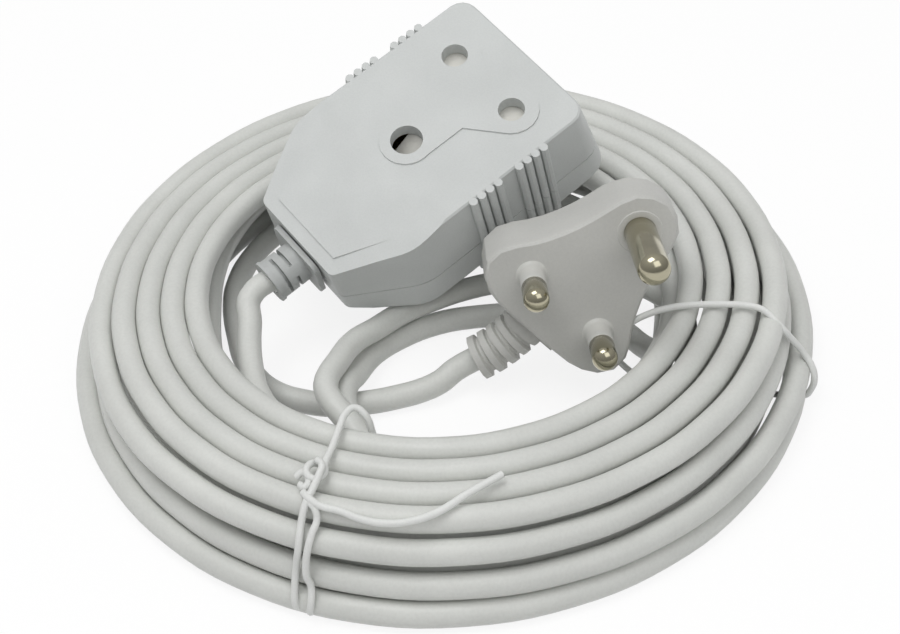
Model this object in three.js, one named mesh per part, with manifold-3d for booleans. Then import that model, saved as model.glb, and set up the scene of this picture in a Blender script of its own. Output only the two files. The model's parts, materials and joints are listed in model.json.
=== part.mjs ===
// A three-core extension lead, coiled and tied: a round-pin plug, about nine and a half metres of
// 7 mm cord and a two-faced coupler that leans on the coil. Millimetres, +Z up. The coil stands
// on the ground; the origin is in the middle of the coupler's front socket face.
import * as THREE from 'three';
import { mergeVertices } from 'three/addons/utils/BufferGeometryUtils.js';
import Module from 'manifold-3d';

const wasm = await Module();
wasm.setup();

// ---------------------------------------------------------------- driving dimensions

const fitGap = 0.3; // between pieces that touch or are cut round each other

// Pins and their pattern: the earth pin is apart from the line through live and neutral.
const earthPitch = 28.58;
const livePitch = 25.4;
const earthPinDiameter = 8.71;
const earthPinLength = 28.6;
const livePinDiameter = 7.06;
const livePinLength = 18.6;
const boreClearance = 0.78; // a pin bore is this much wider than its pin
const pinSleeveLength = 8.3;
const pinSleeveWall = 0.5;

// Cord.
const cordDiameter = 7;
const coreDiameter = 2.6;

// Coupler casing.
const couplerThickness = 39;
const wall = 2.6;
const faceThickness = 4.4;
const faceHalfWidth = 27.4;
const faceFarMargin = 15.7; // from the live-neutral line to the far edge of the face
const faceNearX = -42; // cable end of the face
const nearHalfWidth = 15.4;
const taperStartX = -20;
const taperCornerRadius = 16;
const widestDepth = 28; // where the casing is widest, below its front face
const widestStandOut = 5.6; // how far its far end stands out there past the front face
const backStandOut = 0.6; // and at the back face
const sideShare = 0.9; // the long sides' share of that, the narrow end's sides', and the end's inward
const nearSideShare = 0.5;
const nearEndShare = 0.25;
const farCornerRadius = 5;
const faceEdge = 0.5; // the broken edge round a face
const frontSlopeStartX = -8; // from here the front face slopes towards the cable end
const backSlopeStartX = -3.5;
const frontSlopeDrop = 6.5; // how far the front face comes down to the cable end
const backSlopeDrop = 13; // and how far the back face comes up
const socketMiddleX = 17; // the line that the back socket is turned over about
const ribRadius = 1.3;
const ribPitch = 3.05;
const ribsPerGroup = 4;
const ribGroupStarts = [1.2, 18.1];
const padHeight = 0.5;
const padRadius = 8;

// Shutters.
const shutterThickness = 2;
const shutterTravel = 7.2;
const shutterHoleEase = 0.2; // each pin hole beyond the bore in the face
const shutterEdge = 1.18; // land beside the pin holes
const shutterEndX = 34;
const springWire = 0.7;
const springDiameter = 3.6;
const springTurns = 6;

// Contacts.
const contactSheet = 0.9;
const contactEase = 0.1; // round a pin inside its sleeve
const stripThickness = 1;
const terminalX = -14;
const terminalSize = 7;
const terminalScrewDiameter = 3;
const contactStart = 10.6; // depth of the contact sleeves' mouths below a face

// Casing screws and cord clamp.
const shellScrewDiameter = 2.9;
const shellScrewHead = 5.4;
const shellScrewHeadHeight = 2.2;
const bossRadius = 3;
const bossPlaces = [[37.5, 22], [37.5, -22], [-24, 17.8], [-24, -17.8]];
const clampX = -32;
const clampWidth = 6;
const clampHeight = 3;
const clampScrewY = 7.6;
const clampScrewDiameter = 2.5;

// Coupler strain relief.
const reliefPlateX = -41.9;
const reliefPlateThickness = 1.6;
const reliefPlateHalfWidth = 10.2;
const reliefPlateTop = 8; // above the cord's axis
const reliefPlateBottom = 7;
const reliefEndX = -54;
const reliefRadius = 6.3;
const reliefNeckRadius = 5.2;
const reliefCollar = 1.2;

// Plug.
const plugDepth = 21;
const plugRim = 1; // how far the body's side stands out past its flat pin face
const plugEarthEndDepth = 13; // the body is thinner at the earth pin's end
const plugSlopeStartY = 20;
const plugWallInset = 1.5; // inner cavity, inside the outline of the pin face
const plugFrontWall = 3.4;
const plugRearWall = 3.6;
const plugSlopeWall = 2.6;
const plugRootHalf = 8.6; // the block that the strain relief grows out of
const plugRootHeight = 7;
const plugRootEndY = -14;
const plugReliefRibs = 4;
const plugReliefRadius = 6.7;
const plugReliefGroove = 5.4;
const bridgeThickness = 5;
const pinRootDiameter = 5;
const pinRootLength = 10;

// Coil: four layers, every one spiralling in or out at its own steady rate.
const layerPitch = 7.5;
const firstLayerHeight = 2.8; // the lowest strands lie flat by the rest of their radius
const coilStartAngle = -45; // degrees; the winding runs clockwise seen from above
const coilRadii = [76.5, 106.3, 77, 99, 66.7]; // start, three reversals, end
const coilTurns = [3.403, 3.934, 2.954, 4.417];
const coilStepsPerTurn = 24;
const coilSides = 6;
const coilShift = [0.064, -0.05]; // the outer loops' centres drift by this much per mm of radius
const coilShiftStart = 70;
const innerDipAngle = 183; // the innermost turn sags inwards at the left
const innerDip = 10;
const innerDipSpread = 38;
const endTuck = 1.5; // the coil's upper end turns inwards out of the spiral
const endTuckTurns = 0.12;

// Ties.
const tieWire = 1.9;
const tieSides = 5;
const tieSteps = 66;
const tieClearance = 0.9;

// Leads.
const leadSides = 8;
const plugLeadSteps = 58;
const couplerLeadSteps = 21;

// Where the coupler and the plug lie on the coil, from the coil's centre on the ground:
// a place and the directions of the piece's own x and z axes.
const couplerPlace = { at: [-6.2, 19.9, 58.2], x: [0.801, 0.531, 0.279], z: [-0.059, -0.393, 0.918] };
const plugPlace = { at: [34.8, -26.5, 32.9], x: [0.696, -0.211, -0.686], z: [-0.002, -0.956, 0.292] };

// ---------------------------------------------------------------- worked-out sizes

const cordRadius = cordDiameter / 2;
const liveY = livePitch / 2;
const earthBoreRadius = (earthPinDiameter + boreClearance) / 2;
const liveBoreRadius = (livePinDiameter + boreClearance) / 2;
const shutterHoleRadius = liveBoreRadius + shutterHoleEase;
const shutterHalfWidth = liveY + shutterHoleRadius + shutterEdge;
const partingZ = -couplerThickness / 2;
const faceFarX = earthPitch + faceFarMargin;
// The back socket is the front one turned over about the y axis through the casing's middle.
const frontSlopeAngle = Math.atan2(frontSlopeDrop, frontSlopeStartX - faceNearX);
const backSlopeAngle = Math.atan2(backSlopeDrop, backSlopeStartX - faceNearX);
const nearInnerX = faceNearX + widestStandOut * nearEndShare + wall; // inside of the cable end's wall
const cordAxisZ = partingZ + 1;
const shutterTop = faceThickness + fitGap;
const shutterBottom = shutterTop + shutterThickness;
const shutterRampX = -2.4;
const shutterRampEndX = shutterRampX + shutterTravel + 2;
const shutterRampBottom = contactStart - fitGap - 0.4;
const springAxisDepth = shutterTop + springDiameter / 2 + 0.6;
const springPostX = 27;
const springPostThickness = 2;
const slotHalfWidth = 2.8;
const railInner = shutterHalfWidth + fitGap;
const railThickness = 1.6;
const railLip = 1.3;
const lipThickness = 1;
const railStartX = -4;
const labelMargin = 3.7; // from the casing's cable end to the label field
const ribStandOut = 1.9; // past the edge of the flat face
const pilotTop = -8;
const stripTop = partingZ + stripThickness / 2;
const stripBottom = partingZ - stripThickness / 2;
const stripWidth = 6;
const terminalTop = stripTop + terminalSize - 0.5;
const coreZ = -16.5;
const partitionX = -9.8;
const clampTop = cordAxisZ + clampHeight + cordRadius;
const couplerTailEndX = -28.4;
const plugTailInnerY = -10.5;
const socketMiddleShare = 2 / 3; // the middle of the three pins, from earth towards the others

// ---------------------------------------------------------------- geometry helpers

const rad = THREE.MathUtils.degToRad;

function solid(geometry) {
  const bare = geometry.index ? geometry.toNonIndexed() : geometry.clone();
  for (const name of Object.keys(bare.attributes)) {
    if (name !== 'position') bare.deleteAttribute(name);
  }
  const merged = mergeVertices(bare, 1e-4);
  return new wasm.Manifold(new wasm.Mesh({
    numProp: 3,
    vertProperties: Float32Array.from(merged.attributes.position.array),
    triVerts: Uint32Array.from(merged.index.array),
  }));
}

function geometryOf(body) {
  const mesh = body.getMesh();
  const geometry = new THREE.BufferGeometry();
  geometry.setAttribute('position', new THREE.BufferAttribute(Float32Array.from(mesh.vertProperties), 3));
  geometry.setIndex(new THREE.BufferAttribute(Uint32Array.from(mesh.triVerts), 1));
  return geometry;
}

function joined(first, ...others) {
  return others.reduce((sum, other) => sum.add(other), first);
}

function cutBy(first, ...cutters) {
  return cutters.reduce((rest, cutter) => rest.subtract(cutter), first);
}

// A box given by its low and high corners.
function box(low, high) {
  const geometry = new THREE.BoxGeometry(high[0] - low[0], high[1] - low[1], high[2] - low[2]);
  geometry.translate((low[0] + high[0]) / 2, (low[1] + high[1]) / 2, (low[2] + high[2]) / 2);
  return solid(geometry);
}

// A round bar along z between two heights.
function barZ(x, y, low, high, radius, sides = 16) {
  const geometry = new THREE.CylinderGeometry(radius, radius, high - low, sides);
  geometry.rotateX(Math.PI / 2);
  geometry.translate(x, y, (low + high) / 2);
  return solid(geometry);
}

// A round bar along x between two places.
function barX(low, high, y, z, radius, sides = 16) {
  const geometry = new THREE.CylinderGeometry(radius, radius, high - low, sides);
  geometry.rotateZ(Math.PI / 2);
  geometry.translate((low + high) / 2, y, z);
  return solid(geometry);
}

// A closed body through rings of equally many points, with fans over both ends.
function loft(rings) {
  const count = rings[0].length;
  const positions = [];
  for (const ring of rings) {
    for (const p of ring) positions.push(p.x, p.y, p.z);
  }
  const index = [];
  for (let i = 0; i + 1 < rings.length; i += 1) {
    for (let j = 0; j < count; j += 1) {
      const a = i * count + j;
      const b = i * count + ((j + 1) % count);
      index.push(a, b, b + count, a, b + count, a + count);
    }
  }
  const centreOf = (ring) => {
    const sum = new THREE.Vector3();
    for (const p of ring) sum.add(p);
    return sum.divideScalar(count);
  };
  const ends = [[rings[0], 0, true], [rings[rings.length - 1], (rings.length - 1) * count, false]];
  for (const [ring, start, first] of ends) {
    const c = centreOf(ring);
    const middle = positions.length / 3;
    positions.push(c.x, c.y, c.z);
    for (let j = 0; j < count; j += 1) {
      const a = start + j;
      const b = start + ((j + 1) % count);
      if (first) index.push(middle, b, a);
      else index.push(middle, a, b);
    }
  }
  const geometry = new THREE.BufferGeometry();
  geometry.setAttribute('position', new THREE.Float32BufferAttribute(positions, 3));
  geometry.setIndex(index);
  return geometry;
}

// Rings of a round section along a path, square to it, with vertices straight above the path.
function ringsAlong(path, radiusAt, sides) {
  const up = new THREE.Vector3(0, 0, 1);
  return path.map((point, i) => {
    const before = path[Math.max(i - 1, 0)];
    const after = path[Math.min(i + 1, path.length - 1)];
    const along = after.clone().sub(before).normalize();
    const side = new THREE.Vector3().crossVectors(up, along).normalize();
    const top = new THREE.Vector3().crossVectors(along, side);
    const radius = radiusAt(i);
    return Array.from({ length: sides }, (unused, k) => {
      const angle = Math.PI / 2 + (2 * Math.PI * k) / sides;
      return point.clone()
        .addScaledVector(side, radius * Math.cos(angle))
        .addScaledVector(top, radius * Math.sin(angle));
    });
  });
}

// A tube of one radius along a smooth curve through hand-set points.
function tubeGeometry(points, radius, steps, sides) {
  const curve = new THREE.CatmullRomCurve3(points, false, 'centripetal');
  const section = new THREE.Shape(Array.from({ length: sides }, (unused, k) => {
    const angle = (2 * Math.PI * (k + 0.5)) / sides;
    return new THREE.Vector2(radius * Math.cos(angle), radius * Math.sin(angle));
  }));
  return new THREE.ExtrudeGeometry(section, { steps, extrudePath: curve, curveSegments: sides });
}

function vector(list) {
  return new THREE.Vector3(...list);
}

// The corners of a polygon, rounded by arcs of the given radii.
function roundedPolygon(corners, radii, segments = 4) {
  const points = [];
  const count = corners.length;
  corners.forEach((corner, i) => {
    const here = new THREE.Vector2(...corner);
    const toBefore = new THREE.Vector2(...corners[(i + count - 1) % count]).sub(here).normalize();
    const toAfter = new THREE.Vector2(...corners[(i + 1) % count]).sub(here).normalize();
    const half = Math.acos(THREE.MathUtils.clamp(toBefore.dot(toAfter), -1, 1)) / 2;
    const bisector = toBefore.clone().add(toAfter).normalize();
    const centre = here.clone().addScaledVector(bisector, radii[i] / Math.sin(half));
    const reach = radii[i] / Math.tan(half);
    const from = here.clone().addScaledVector(toBefore, reach).sub(centre);
    const to = here.clone().addScaledVector(toAfter, reach).sub(centre);
    const start = Math.atan2(from.y, from.x);
    let sweep = Math.atan2(to.y, to.x) - start;
    if (sweep > Math.PI) sweep -= 2 * Math.PI;
    if (sweep < -Math.PI) sweep += 2 * Math.PI;
    for (let k = 0; k <= segments; k += 1) {
      const angle = start + (sweep * k) / segments;
      points.push(new THREE.Vector2(
        centre.x + radii[i] * Math.cos(angle),
        centre.y + radii[i] * Math.sin(angle),
      ));
    }
  });
  return points;
}

// A prism of a flat outline between two heights.
function prism(outline, low, high) {
  const geometry = new THREE.ExtrudeGeometry(new THREE.Shape(outline),
    { depth: high - low, bevelEnabled: false });
  geometry.translate(0, 0, low);
  return solid(geometry);
}

// A helix along x with straight-cut ends.
function coilSpring(fromX, toX, y, z, meanRadius, wire, turns) {
  const stepsPerTurn = 8;
  const steps = turns * stepsPerTurn;
  const path = Array.from({ length: steps + 1 }, (unused, i) => {
    const angle = (2 * Math.PI * i) / stepsPerTurn;
    const x = fromX + wire / 2 + ((toX - fromX - wire) * i) / steps;
    return new THREE.Vector3(x, y + meanRadius * Math.cos(angle), z + meanRadius * Math.sin(angle));
  });
  const rings = path.map((point, i) => {
    const angle = (2 * Math.PI * i) / stepsPerTurn;
    const out = new THREE.Vector3(0, Math.cos(angle), Math.sin(angle));
    return Array.from({ length: 5 }, (unused, k) => {
      const turn = (2 * Math.PI * k) / 5;
      return point.clone()
        .addScaledVector(out, (wire / 2) * Math.cos(turn))
        .add(new THREE.Vector3((-wire / 2) * Math.sin(turn), 0, 0));
    });
  });
  return loft(rings);
}

// ---------------------------------------------------------------- coupler casing

// The casing's outline, `grow` outside the edge of its flat face and `inset` within the skin.
function casingOutline(grow, inset) {
  const side = faceHalfWidth + grow * sideShare - inset;
  const near = nearHalfWidth + grow * nearSideShare - inset * 0.9;
  const farX = faceFarX + grow - inset;
  const nearX = faceNearX + grow * nearEndShare + inset;
  const corners = [[farX, -side], [farX, side], [taperStartX, side], [nearX, near], [nearX, -near],
    [taperStartX, -side]];
  const far = farCornerRadius + grow * 0.5 - inset * 0.5;
  return roundedPolygon(corners, [far, far, taperCornerRadius, 2.5, 2.5, taperCornerRadius]);
}

// How far the casing stands out at a depth below its front face.
function standOut(depth) {
  const above = Math.min(depth / widestDepth, 1);
  const below = Math.max(0, (depth - widestDepth) / (couplerThickness - widestDepth));
  return widestStandOut * above - (widestStandOut - backStandOut) * below;
}

// A half is shaped as the front one; the back one is mirrored afterwards.
function depthOf(z, isBack) {
  return isBack ? couplerThickness + z : -z;
}

function loftedHalf(heights, isBack, inset, edge) {
  const rings = heights.map((z, i) => {
    const grow = standOut(depthOf(z, isBack)) - (i === heights.length - 1 ? edge : 0);
    return casingOutline(grow, inset).map((p) => new THREE.Vector3(p.x, p.y, z));
  });
  return solid(loft(rings));
}

const halfHeight = couplerThickness - widestDepth;

function halfForm(isBack) {
  const heights = [partingZ + fitGap / 2, -halfHeight, -padHeight - faceEdge, -padHeight];
  return loftedHalf(heights, isBack, 0, faceEdge);
}

function halfCavity(isBack) {
  return loftedHalf([partingZ - 1, -halfHeight, -faceThickness], isBack, wall, 0);
}

// Grip ribs: bars down both long sides that follow the wall.
function gripRibs(isBack) {
  const heights = [partingZ + fitGap / 2, -halfHeight, -padHeight];
  const rib = (x, side) => {
    const rings = heights.map((z) => {
      const wallOut = sideShare * standOut(depthOf(z, isBack));
      const middle = side * (faceHalfWidth + wallOut + ribStandOut - ribRadius);
      return Array.from({ length: 8 }, (unused, i) => {
        const angle = rad(45 * i + 22.5);
        return new THREE.Vector3(x + ribRadius * Math.cos(angle), middle + ribRadius * Math.sin(angle), z);
      });
    });
    return solid(loft(rings));
  };
  const bars = [];
  for (const start of ribGroupStarts) {
    for (let k = 0; k < ribsPerGroup; k += 1) {
      bars.push(rib(start + k * ribPitch, -1), rib(start + k * ribPitch, 1));
    }
  }
  return joined(...bars);
}

// Mirrors a piece of the front half to the back one.
function mirrored(body) {
  return body.mirror([0, 0, 1]).translate([0, 0, -couplerThickness]);
}

// Turns a socket's own features over to the back face.
function turnedOver(body) {
  return body.rotate([0, 180, 0]).translate([2 * socketMiddleX, 0, -couplerThickness]);
}

// The raised clover round the three pin holes.
function cloverPad() {
  const points = [];
  const arc = (cx, cy, from, to, count) => {
    for (let k = 0; k <= count; k += 1) {
      const angle = rad(from + ((to - from) * k) / count);
      points.push(new THREE.Vector2(cx + padRadius * Math.cos(angle), cy + padRadius * Math.sin(angle)));
    }
  };
  const neck = padRadius - 0.2;
  const neckAngle = THREE.MathUtils.radToDeg(Math.asin(neck / padRadius));
  const shoulderX = earthPitch / 2;
  arc(0, 0, neckAngle, 360 - neckAngle, 14);
  points.push(new THREE.Vector2(shoulderX, -neck));
  arc(earthPitch, -liveY, 225, 405, 10);
  arc(earthPitch, liveY, -45, 135, 10);
  points.push(new THREE.Vector2(shoulderX, neck));
  return prism(points, -padHeight - 1, 0);
}

// The label field at the cable end: a bare wedge that sinks into the face towards the pins.
function labelPad() {
  const edgeX = faceNearX + labelMargin;
  const edgeHalf = nearHalfWidth - labelMargin * 0.7;
  const fadeX = taperStartX - 2;
  const fadeHalf = faceHalfWidth - labelMargin * 1.8;
  const corners = [[edgeX, -edgeHalf], [fadeX, -fadeHalf], [fadeX, fadeHalf], [edgeX, edgeHalf]];
  const slab = prism(corners.map((p) => new THREE.Vector2(...p)), -padHeight - 1, 0);
  const lid = new THREE.BoxGeometry(60, 60, 10);
  lid.translate(30, 0, 5);
  lid.rotateY(Math.atan2(padHeight, fadeX - edgeX));
  lid.translate(edgeX, 0, 0);
  const pad = slab.subtract(solid(lid)).translate([-frontSlopeStartX, 0, padHeight]);
  return pad.rotate([0, -THREE.MathUtils.radToDeg(frontSlopeAngle), 0])
    .translate([frontSlopeStartX, 0, -padHeight]);
}

function pinBores() {
  const top = 1;
  const depth = -faceThickness - 1;
  return [
    barZ(0, 0, depth, top, earthBoreRadius, 28),
    barZ(earthPitch, liveY, depth, top, liveBoreRadius, 24),
    barZ(earthPitch, -liveY, depth, top, liveBoreRadius, 24),
  ];
}

// Inside a face: lipped rails that the shutter slides in, and the post its spring pushes on.
function shutterGuides() {
  const railBottom = -(shutterBottom + fitGap + lipThickness);
  const railTop = -faceThickness + 0.5;
  const railEnd = shutterEndX + shutterTravel - 1;
  const parts = [];
  for (const side of [-1, 1]) {
    const between = (a, b) => [Math.min(side * a, side * b), Math.max(side * a, side * b)];
    const [railLow, railHigh] = between(railInner, railInner + railThickness);
    const [lipLow, lipHigh] = between(railInner - railLip, railInner + railThickness);
    parts.push(box([railStartX, railLow, railBottom], [railEnd, railHigh, railTop]));
    parts.push(box([railStartX, lipLow, railBottom], [railEnd, lipHigh, railBottom + lipThickness]));
  }
  const postHalf = slotHalfWidth - 0.5;
  const postBottom = -springAxisDepth - springDiameter / 2;
  parts.push(box([springPostX, -postHalf, postBottom],
    [springPostX + springPostThickness, postHalf, railTop]));
  return joined(...parts);
}

// The wall between the contacts and the terminals, which the strips lie against.
function partition() {
  const half = liveY + stripWidth / 2;
  return box([partitionX, -half, stripTop + fitGap], [partitionX + 2, half, -faceThickness + 0.5]);
}

// What the slope at the cable end takes off a half, `inset` deeper for the inner surface. It is
// given for the back half.
function slopeCutter(startX, angle, inset) {
  const cutter = new THREE.BoxGeometry(100, 90, 40);
  cutter.translate(-50, 0, -20);
  cutter.rotateY(angle);
  cutter.translate(startX, 0, -couplerThickness + padHeight + inset);
  return solid(cutter);
}

// The back half's outer surface at a place along the casing, and the front half's.
function backDepthAt(x) {
  return -couplerThickness + padHeight + Math.max(0, backSlopeStartX - x) * Math.tan(backSlopeAngle);
}

function frontDepthAt(x) {
  return -padHeight - Math.max(0, frontSlopeStartX - x) * Math.tan(frontSlopeAngle);
}

// The hole in the cable end for the strain relief's neck.
function reliefOpening() {
  return barX(faceNearX - 3, nearInnerX + 1, 0, cordAxisZ, reliefNeckRadius + fitGap, 20);
}

function frontShell() {
  const form = cutBy(joined(halfForm(false), gripRibs(false)),
    mirrored(slopeCutter(frontSlopeStartX, frontSlopeAngle, 0)));
  const cavity = halfCavity(false).subtract(mirrored(slopeCutter(frontSlopeStartX, frontSlopeAngle, wall)));
  const skin = cutBy(joined(form, cloverPad(), labelPad()), cavity);
  const bosses = bossPlaces.map(([x, y]) => {
    const top = Math.min(-faceThickness + 0.5, frontDepthAt(x) - wall / 2);
    return barZ(x, y, partingZ + fitGap / 2, top, bossRadius, 14);
  });
  const pilots = bossPlaces.map(([x, y]) =>
    barZ(x, y, partingZ - 1, pilotTop, shellScrewDiameter / 2 + fitGap, 12));
  const body = joined(skin, shutterGuides(), partition(), ...bosses);
  return cutBy(body, ...pinBores(), ...pilots, reliefOpening());
}

const clampPilotBottom = backDepthAt(clampX) + wall + 0.8;

// Bosses and a saddle under the cord for its clamp.
function clampSeat() {
  const half = clampWidth / 2;
  const floor = backDepthAt(clampX) + 1;
  const saddle = box([clampX - half, -clampScrewY, floor], [clampX + half, clampScrewY, cordAxisZ - 0.5]);
  const bosses = [-1, 1].map((side) =>
    barZ(clampX, side * clampScrewY, floor, cordAxisZ + 0.7, half - 0.2, 14));
  const seat = joined(saddle, ...bosses)
    .subtract(barX(clampX - 5, clampX + 5, 0, cordAxisZ, cordRadius + fitGap, 20));
  const pilots = [-1, 1].map((side) => (
    barZ(clampX, side * clampScrewY, clampPilotBottom, cordAxisZ + 2, clampScrewDiameter / 2 + fitGap, 12)));
  return cutBy(seat, ...pilots);
}

function backShell() {
  const form = joined(mirrored(halfForm(true)), mirrored(gripRibs(true)), turnedOver(cloverPad()));
  const cavity = mirrored(halfCavity(true)).subtract(slopeCutter(backSlopeStartX, backSlopeAngle, wall));
  const skin = cutBy(form, slopeCutter(backSlopeStartX, backSlopeAngle, 0), cavity);
  const bosses = bossPlaces.map(([x, y]) => (
    barZ(x, y, backDepthAt(x) + 0.8, partingZ - fitGap / 2, bossRadius, 14)));
  const holes = bossPlaces.flatMap(([x, y]) => [
    barZ(x, y, -couplerThickness - 1, partingZ + 1, shellScrewDiameter / 2 + fitGap, 12),
    barZ(x, y, -couplerThickness - 1, shellScrewSeat(x), shellScrewHead / 2 + fitGap, 16),
  ]);
  const inside = joined(turnedOver(shutterGuides()), mirrored(partition()), clampSeat(), ...bosses);
  const cutters = [...pinBores().map(turnedOver), ...holes, reliefOpening()];
  return cutBy(joined(skin, inside), ...cutters);
}

// Height of the seat that a casing screw's head pulls against.
function shellScrewSeat(x) {
  return backDepthAt(x) + shellScrewHeadHeight + 0.5;
}

function shellScrew(x, y) {
  const seat = shellScrewSeat(x) - fitGap;
  const head = barZ(x, y, seat - shellScrewHeadHeight, seat, shellScrewHead / 2, 16);
  const slot = box([x - 3, y - 0.4, seat - shellScrewHeadHeight - 1],
    [x + 3, y + 0.4, seat - shellScrewHeadHeight + 0.9]);
  return head.subtract(slot).add(barZ(x, y, seat - 0.5, pilotTop - fitGap, shellScrewDiameter / 2, 10));
}

// ---------------------------------------------------------------- shutters and springs

// A plate over the live and neutral holes with a ramp under the earth hole; the earth pin's
// push on the ramp slides it along x until its own holes stand under the pin holes.
function shutter() {
  const plate = box([shutterRampEndX - 1.8, -shutterHalfWidth, -shutterBottom],
    [shutterEndX, shutterHalfWidth, -shutterTop]);
  const profile = [
    [shutterRampX, -shutterRampBottom], [shutterRampEndX, -shutterRampBottom], [shutterRampEndX, -shutterTop],
    [shutterRampX + shutterTravel, -shutterTop], [shutterRampX, -shutterRampBottom + 1],
  ];
  const ramp = new THREE.ExtrudeGeometry(new THREE.Shape(profile.map((p) => new THREE.Vector2(...p))), {
    depth: earthBoreRadius * 2 - 1,
    bevelEnabled: false,
  });
  ramp.rotateX(Math.PI / 2);
  ramp.translate(0, earthBoreRadius - 0.5, 0);
  const slotEnd = springPostX + springPostThickness + fitGap;
  const slot = box([shutterRampEndX, -slotHalfWidth, -shutterBottom - 1],
    [slotEnd, slotHalfWidth, -shutterTop + 1]);
  const holeX = earthPitch - shutterTravel;
  const holes = [-liveY, liveY].map((y) =>
    barZ(holeX, y, -shutterBottom - 1, -shutterTop + 1, shutterHoleRadius, 24));
  return cutBy(plate, slot, ...holes).add(solid(ramp));
}

function shutterSpring() {
  const mean = (springDiameter - springWire) / 2;
  const from = shutterRampEndX + fitGap;
  return solid(coilSpring(from, springPostX - fitGap, 0, -springAxisDepth, mean, springWire, springTurns));
}

// ---------------------------------------------------------------- contacts

function sleeveRadius(pinDiameter) {
  return pinDiameter / 2 + contactEase + contactSheet;
}

// A pillar terminal with its core hole along x and its screw hole from the front.
function terminal(y) {
  const half = terminalSize / 2;
  const block = box([terminalX - half, y - half, stripBottom], [terminalX + half, y + half, terminalTop]);
  return cutBy(
    block,
    barX(terminalX - half - 1, terminalX + half + 1, y, coreZ, coreDiameter / 2 + fitGap, 14),
    barZ(terminalX, y, coreZ, terminalTop + 1, terminalScrewDiameter / 2 + fitGap, 12),
  );
}

function strip(y, fromX, toX) {
  return box([fromX, y - stripWidth / 2, stripBottom], [toX, y + stripWidth / 2, stripTop]);
}

// Live or neutral: one strip with a front and a back sleeve and a terminal.
function lineContact(y) {
  const outer = sleeveRadius(livePinDiameter);
  const inner = livePinDiameter / 2 + contactEase;
  const backX = 2 * socketMiddleX - earthPitch;
  const backMouth = -couplerThickness + contactStart;
  const body = joined(
    strip(y, terminalX, earthPitch + outer),
    terminal(y),
    barZ(earthPitch, y, stripBottom, -contactStart, outer),
    barZ(backX, y, backMouth, stripTop, outer),
  );
  const slit = contactSlit(outer);
  return cutBy(
    body,
    barZ(earthPitch, y, stripTop, 0, inner),
    barZ(backX, y, -couplerThickness, stripBottom, inner),
    slit(earthPitch, y, stripTop + 1.5, 0),
    slit(backX, y, -couplerThickness, stripBottom - 1.5),
  );
}

// Two crossing slits that let a sleeve's fingers spring.
function contactSlit(outer) {
  return (x, y, low, high) => box([x - 0.4, y - outer - 1, low], [x + 0.4, y + outer + 1, high])
    .add(box([x - outer - 1, y - 0.4, low], [x + outer + 1, y + 0.4, high]));
}

function earthContact() {
  const outer = sleeveRadius(earthPinDiameter);
  const inner = earthPinDiameter / 2 + contactEase;
  const backX = 2 * socketMiddleX;
  const backMouth = -couplerThickness + contactStart;
  const frontEnd = -earthPinLength - 0.4;
  const backEnd = -couplerThickness - frontEnd;
  const body = joined(
    strip(0, terminalX, backX),
    terminal(0),
    barZ(0, 0, frontEnd, -contactStart, outer),
    barZ(backX, 0, backMouth, backEnd, outer),
  );
  const slit = contactSlit(outer);
  return cutBy(
    body,
    barZ(0, 0, frontEnd - 1, 0, inner),
    barZ(backX, 0, -couplerThickness, 0, inner),
    slit(0, 0, stripTop + 1.5, 0),
    slit(backX, 0, -couplerThickness, stripBottom - 1.5),
  );
}

function terminalScrew(y) {
  const headBottom = terminalTop + fitGap;
  const head = barZ(terminalX, y, headBottom, headBottom + 1.8, terminalScrewDiameter / 2 + 1.1, 14);
  const slot = box([terminalX - 3, y - 0.35, headBottom + 1], [terminalX + 3, y + 0.35, headBottom + 3]);
  const tip = coreZ + coreDiameter / 2 + fitGap;
  return head.subtract(slot).add(barZ(terminalX, y, tip, headBottom + 0.5, terminalScrewDiameter / 2, 10));
}

// ---------------------------------------------------------------- coupler's cable end

function cordClamp() {
  const half = clampWidth / 2;
  const low = cordAxisZ + 0.7 + fitGap;
  const bar = box([clampX - half, -clampScrewY - 3, low], [clampX + half, clampScrewY + 3, clampTop]);
  const holes = [-1, 1].map((side) => (
    barZ(clampX, side * clampScrewY, low - 1, clampTop + 1, clampScrewDiameter / 2 + fitGap, 12)));
  return cutBy(bar, barX(clampX - 5, clampX + 5, 0, cordAxisZ, cordRadius + fitGap, 20), ...holes);
}

function clampScrew(side) {
  const y = side * clampScrewY;
  const headBottom = clampTop + fitGap;
  const tip = clampPilotBottom + fitGap;
  const head = barZ(clampX, y, headBottom, headBottom + 1.6, clampScrewDiameter / 2 + 1, 14);
  const slot = box([clampX - 3, y - 0.3, headBottom + 0.8], [clampX + 3, y + 0.3, headBottom + 3]);
  return head.subtract(slot).add(barZ(clampX, y, tip, headBottom + 0.5, clampScrewDiameter / 2, 10));
}

// One pair of slots across the barrel, facing away from each other.
function reliefSlots(x, turn) {
  const ring = barX(x - 0.5, x + 0.5, 0, 0, reliefRadius + 2, 20)
    .subtract(barX(x - 1, x + 1, 0, 0, reliefRadius - 1.8, 20));
  const bridge = box([x - 1, -reliefRadius - 3, -1.8], [x + 1, reliefRadius + 3, 1.8]);
  return ring.subtract(bridge).rotate([turn, 0, 0]).translate([0, 0, cordAxisZ]);
}

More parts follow.
